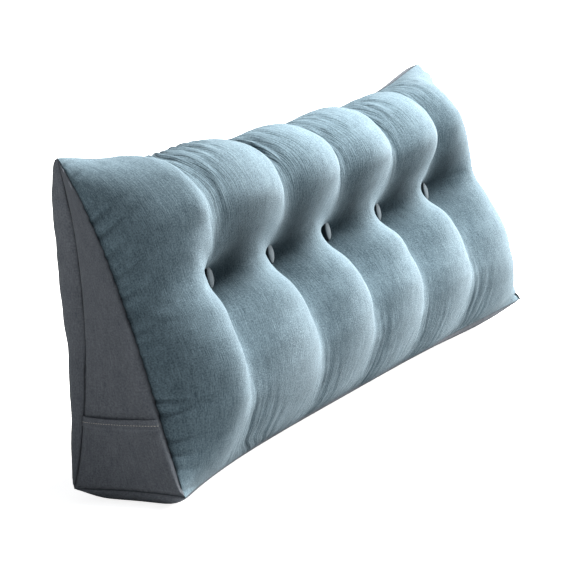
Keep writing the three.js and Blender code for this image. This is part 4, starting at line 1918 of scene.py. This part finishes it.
@dataclass(frozen=True)
class SidePocket:
    """The patch pocket on the left end, flat against it, with a doubled hem at its mouth."""

    foot: float = 0.008
    mouth: float = 0.205
    hem: float = 0.030
    hem_cloth: float = 0.0026
    cloth: float = 0.0014
    gape: float = 0.0026
    gap: float = 0.0006
    seam_inset: float = 0.0030
    stitch_drop: float = 0.0085
    stitch_sag: float = 0.0018
    stitch_lift: float = 0.0001
    stitch_margin: float = 0.01
    panel_height: float = 0.49
    belly_power: float = 0.8
    ripple: float = 0.0005
    ripple_across: float = 17.0
    ripple_up: float = 2.0
    plain_rows: int = 32
    hem_rows: int = 10
    hem_margin: float = 0.001
    hem_step: float = 0.0012
    lip: float = 0.6
    columns: int = 40
    probe: float = 1e-3

    def spread(self, form: WedgeForm, height: Array, share: Array, lift: Array) -> Array:
        """Points over the left end panel.

        Args:
            form: The cushion's form.
            height: Height on the end, 0 to 1.
            share: Place across the pocket, 0 to 1 from front to back.
            lift: How far off the panel.

        Returns:
            Points, with X, Y and Z on the last axis.
        """
        front = form.end(-1, height, np.zeros_like(height))
        back = form.end(-1, height, np.ones_like(height))
        edge = self.seam_inset / np.linalg.norm(back - front, axis=-1)
        across = mix(edge, 1 - edge, share)
        here = form.end(-1, height, across)
        up = form.end(-1, height + self.probe, across) - here
        over = form.end(-1, height, across + self.probe) - here
        normal = np.cross(up, over)
        normal /= np.linalg.norm(normal, axis=-1, keepdims=True)
        return here + normal * lift[..., None]

    def stand(self, height: Array, share: Array) -> Array:
        """How far the pocket's inside stands off the panel.

        Args:
            height: Height on the end.
            share: Place across the pocket.

        Returns:
            The distance in metres.
        """
        up = np.clip((height - self.foot) / (self.mouth - self.foot), 0, 1)
        belly = np.sin(np.pi * np.clip(share, 0, 1)) ** self.belly_power
        ripple = self.ripple * np.sin(share * self.ripple_across + self.ripple_up * up) * up
        return self.gap + self.gape * up**2 * belly + ripple * belly

    def build(self, form: WedgeForm) -> bpy.types.Object:
        """Builds the pocket.

        Args:
            form: The cushion's form.

        Returns:
            The pocket object.
        """
        hem_start = self.mouth - self.hem
        margin = self.hem_margin
        plain = np.linspace(self.foot, hem_start, self.plain_rows)
        banded = np.linspace(hem_start + margin, self.mouth - margin, self.hem_rows)
        heights = np.concatenate([plain, banded, [self.mouth]])
        height, share = np.meshgrid(heights, np.linspace(0, 1, self.columns), indexing="ij")
        inside = self.stand(height, share)
        in_hem = smooth((height - hem_start) / self.hem_step)
        cloth = mix(self.cloth, self.hem_cloth, in_hem)
        cloth[-1] *= self.lip
        outer = self.spread(form, height, share, inside + cloth)
        inner = self.spread(form, height, share, inside)
        return new_object("side_pocket_cloth", sheet_mesh("side_pocket_cloth", outer, inner))

    def stitch_line(self, form: WedgeForm, count: int = 160) -> Array:
        """The line of the hem's topstitching.

        Args:
            form: The cushion's form.
            count: How many points.

        Returns:
            Points, N by 3.
        """
        share = np.linspace(self.stitch_margin, 1 - self.stitch_margin, count)
        top = self.mouth - self.stitch_drop / self.panel_height
        height = top + self.stitch_sag * np.sin(share * np.pi)
        lift = self.stand(height, share) + self.hem_cloth + self.stitch_lift
        return self.spread(form, height, share, lift)


@dataclass(frozen=True)
class StitchRow:
    """A row of short stitches along a line."""

    length: float = 0.0034
    spacing: float = 0.0046
    thickness: float = 0.0009
    segments: int = 8
    rings: int = 6

    def node_group(self, thread: bpy.types.Material) -> bpy.types.NodeTree:
        """Geometry nodes that lay one stitch after another along a line.

        Args:
            thread: The stitches' material.

        Returns:
            The node group.
        """
        group = bpy.data.node_groups.new("stitch_row", "GeometryNodeTree")
        group.interface.new_socket("Geometry", in_out="INPUT", socket_type="NodeSocketGeometry")
        group.interface.new_socket("Spacing", in_out="INPUT", socket_type="NodeSocketFloat")
        group.interface.new_socket("Geometry", in_out="OUTPUT", socket_type="NodeSocketGeometry")
        tree = NodeTree(group)
        inlet = tree.add("NodeGroupInput")
        line = tree.add("GeometryNodeMeshToCurve", None, in_0=inlet.outputs["Geometry"])
        points = tree.add("GeometryNodeCurveToPoints", {"mode": "LENGTH"}, in_0=line.outputs[0])
        tree.link(inlet.outputs["Spacing"], points.inputs["Length"])
        fineness = {"Segments": self.segments, "Rings": self.rings}
        ball = tree.add("GeometryNodeMeshUVSphere", None, Radius=0.5, **fineness)
        size = (self.thickness, self.thickness, self.length)
        stitch = tree.add("GeometryNodeTransform", None, in_0=ball.outputs[0], Scale=size)
        laid = tree.add(
            "GeometryNodeInstanceOnPoints",
            None,
            Points=points.outputs[0],
            Instance=stitch.outputs[0],
            Rotation=points.outputs["Rotation"],
        )
        solid = tree.add("GeometryNodeRealizeInstances", None, in_0=laid.outputs[0])
        coated = tree.add("GeometryNodeSetMaterial", None, in_0=solid.outputs[0], Material=thread)
        tree.add("NodeGroupOutput", None, in_0=coated.outputs[0])
        return group

    def build(self, name: str, line: Array, thread: bpy.types.Material) -> bpy.types.Object:
        """Builds the row.

        Args:
            name: The object's name.
            line: The line's points, N by 3.
            thread: The stitches' material.

        Returns:
            The row's object.
        """
        mesh = bpy.data.meshes.new(name)
        edges = [(k, k + 1) for k in range(len(line) - 1)]
        mesh.from_pydata(line.tolist(), edges, [])
        obj = new_object(name, mesh)
        modifier = obj.modifiers.new("stitches", "NODES")
        modifier.node_group = self.node_group(thread)
        for item in modifier.node_group.interface.items_tree:
            if item.item_type == "SOCKET" and item.in_out == "INPUT" and item.name == "Spacing":
                modifier[item.identifier] = self.spacing
        apply_modifier(obj, modifier)
        return obj


def main() -> None:
    """Builds the cushion's looks in order."""
    logging.basicConfig(level=logging.INFO)
    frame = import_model()
    weave = LinenWeave().build()
    finishes = {finish: finish.value.build(weave) for finish in Finish}
    form = WedgeForm()
    cushion = Cushion(form).build()
    cushion.data.materials.append(finishes[Finish.FRONT])
    cushion.data.materials.append(finishes[Finish.PLAIN])
    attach(cushion, "root")
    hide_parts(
        "cushion_body", "back_panel", "base_panel", "end_panel_left", "end_panel_right"
    )
    for index in range(len(BUTTONS)):
        button = CoveredButton().build(form, index)
        button.data.materials.append(finishes[Finish.BUTTON])
        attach(button, "root")
        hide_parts(f"button_{index + 1}")
        LOG.info("button %d", index + 1)
    shape = SidePocket()
    pocket = shape.build(form)
    pocket.data.materials.append(finishes[Finish.PLAIN])
    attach(pocket, "root")
    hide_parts("side_pocket")
    thread = ThreadFinish().build()
    stitches = StitchRow().build("pocket_topstitch", shape.stitch_line(form), thread)
    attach(stitches, "root")
    LOG.info("pocket and its topstitch")
    Studio().build()
    PhotoCamera().build()
    bpy.context.scene.view_settings.view_transform = "Standard"


if __name__ == "__main__":
    main()
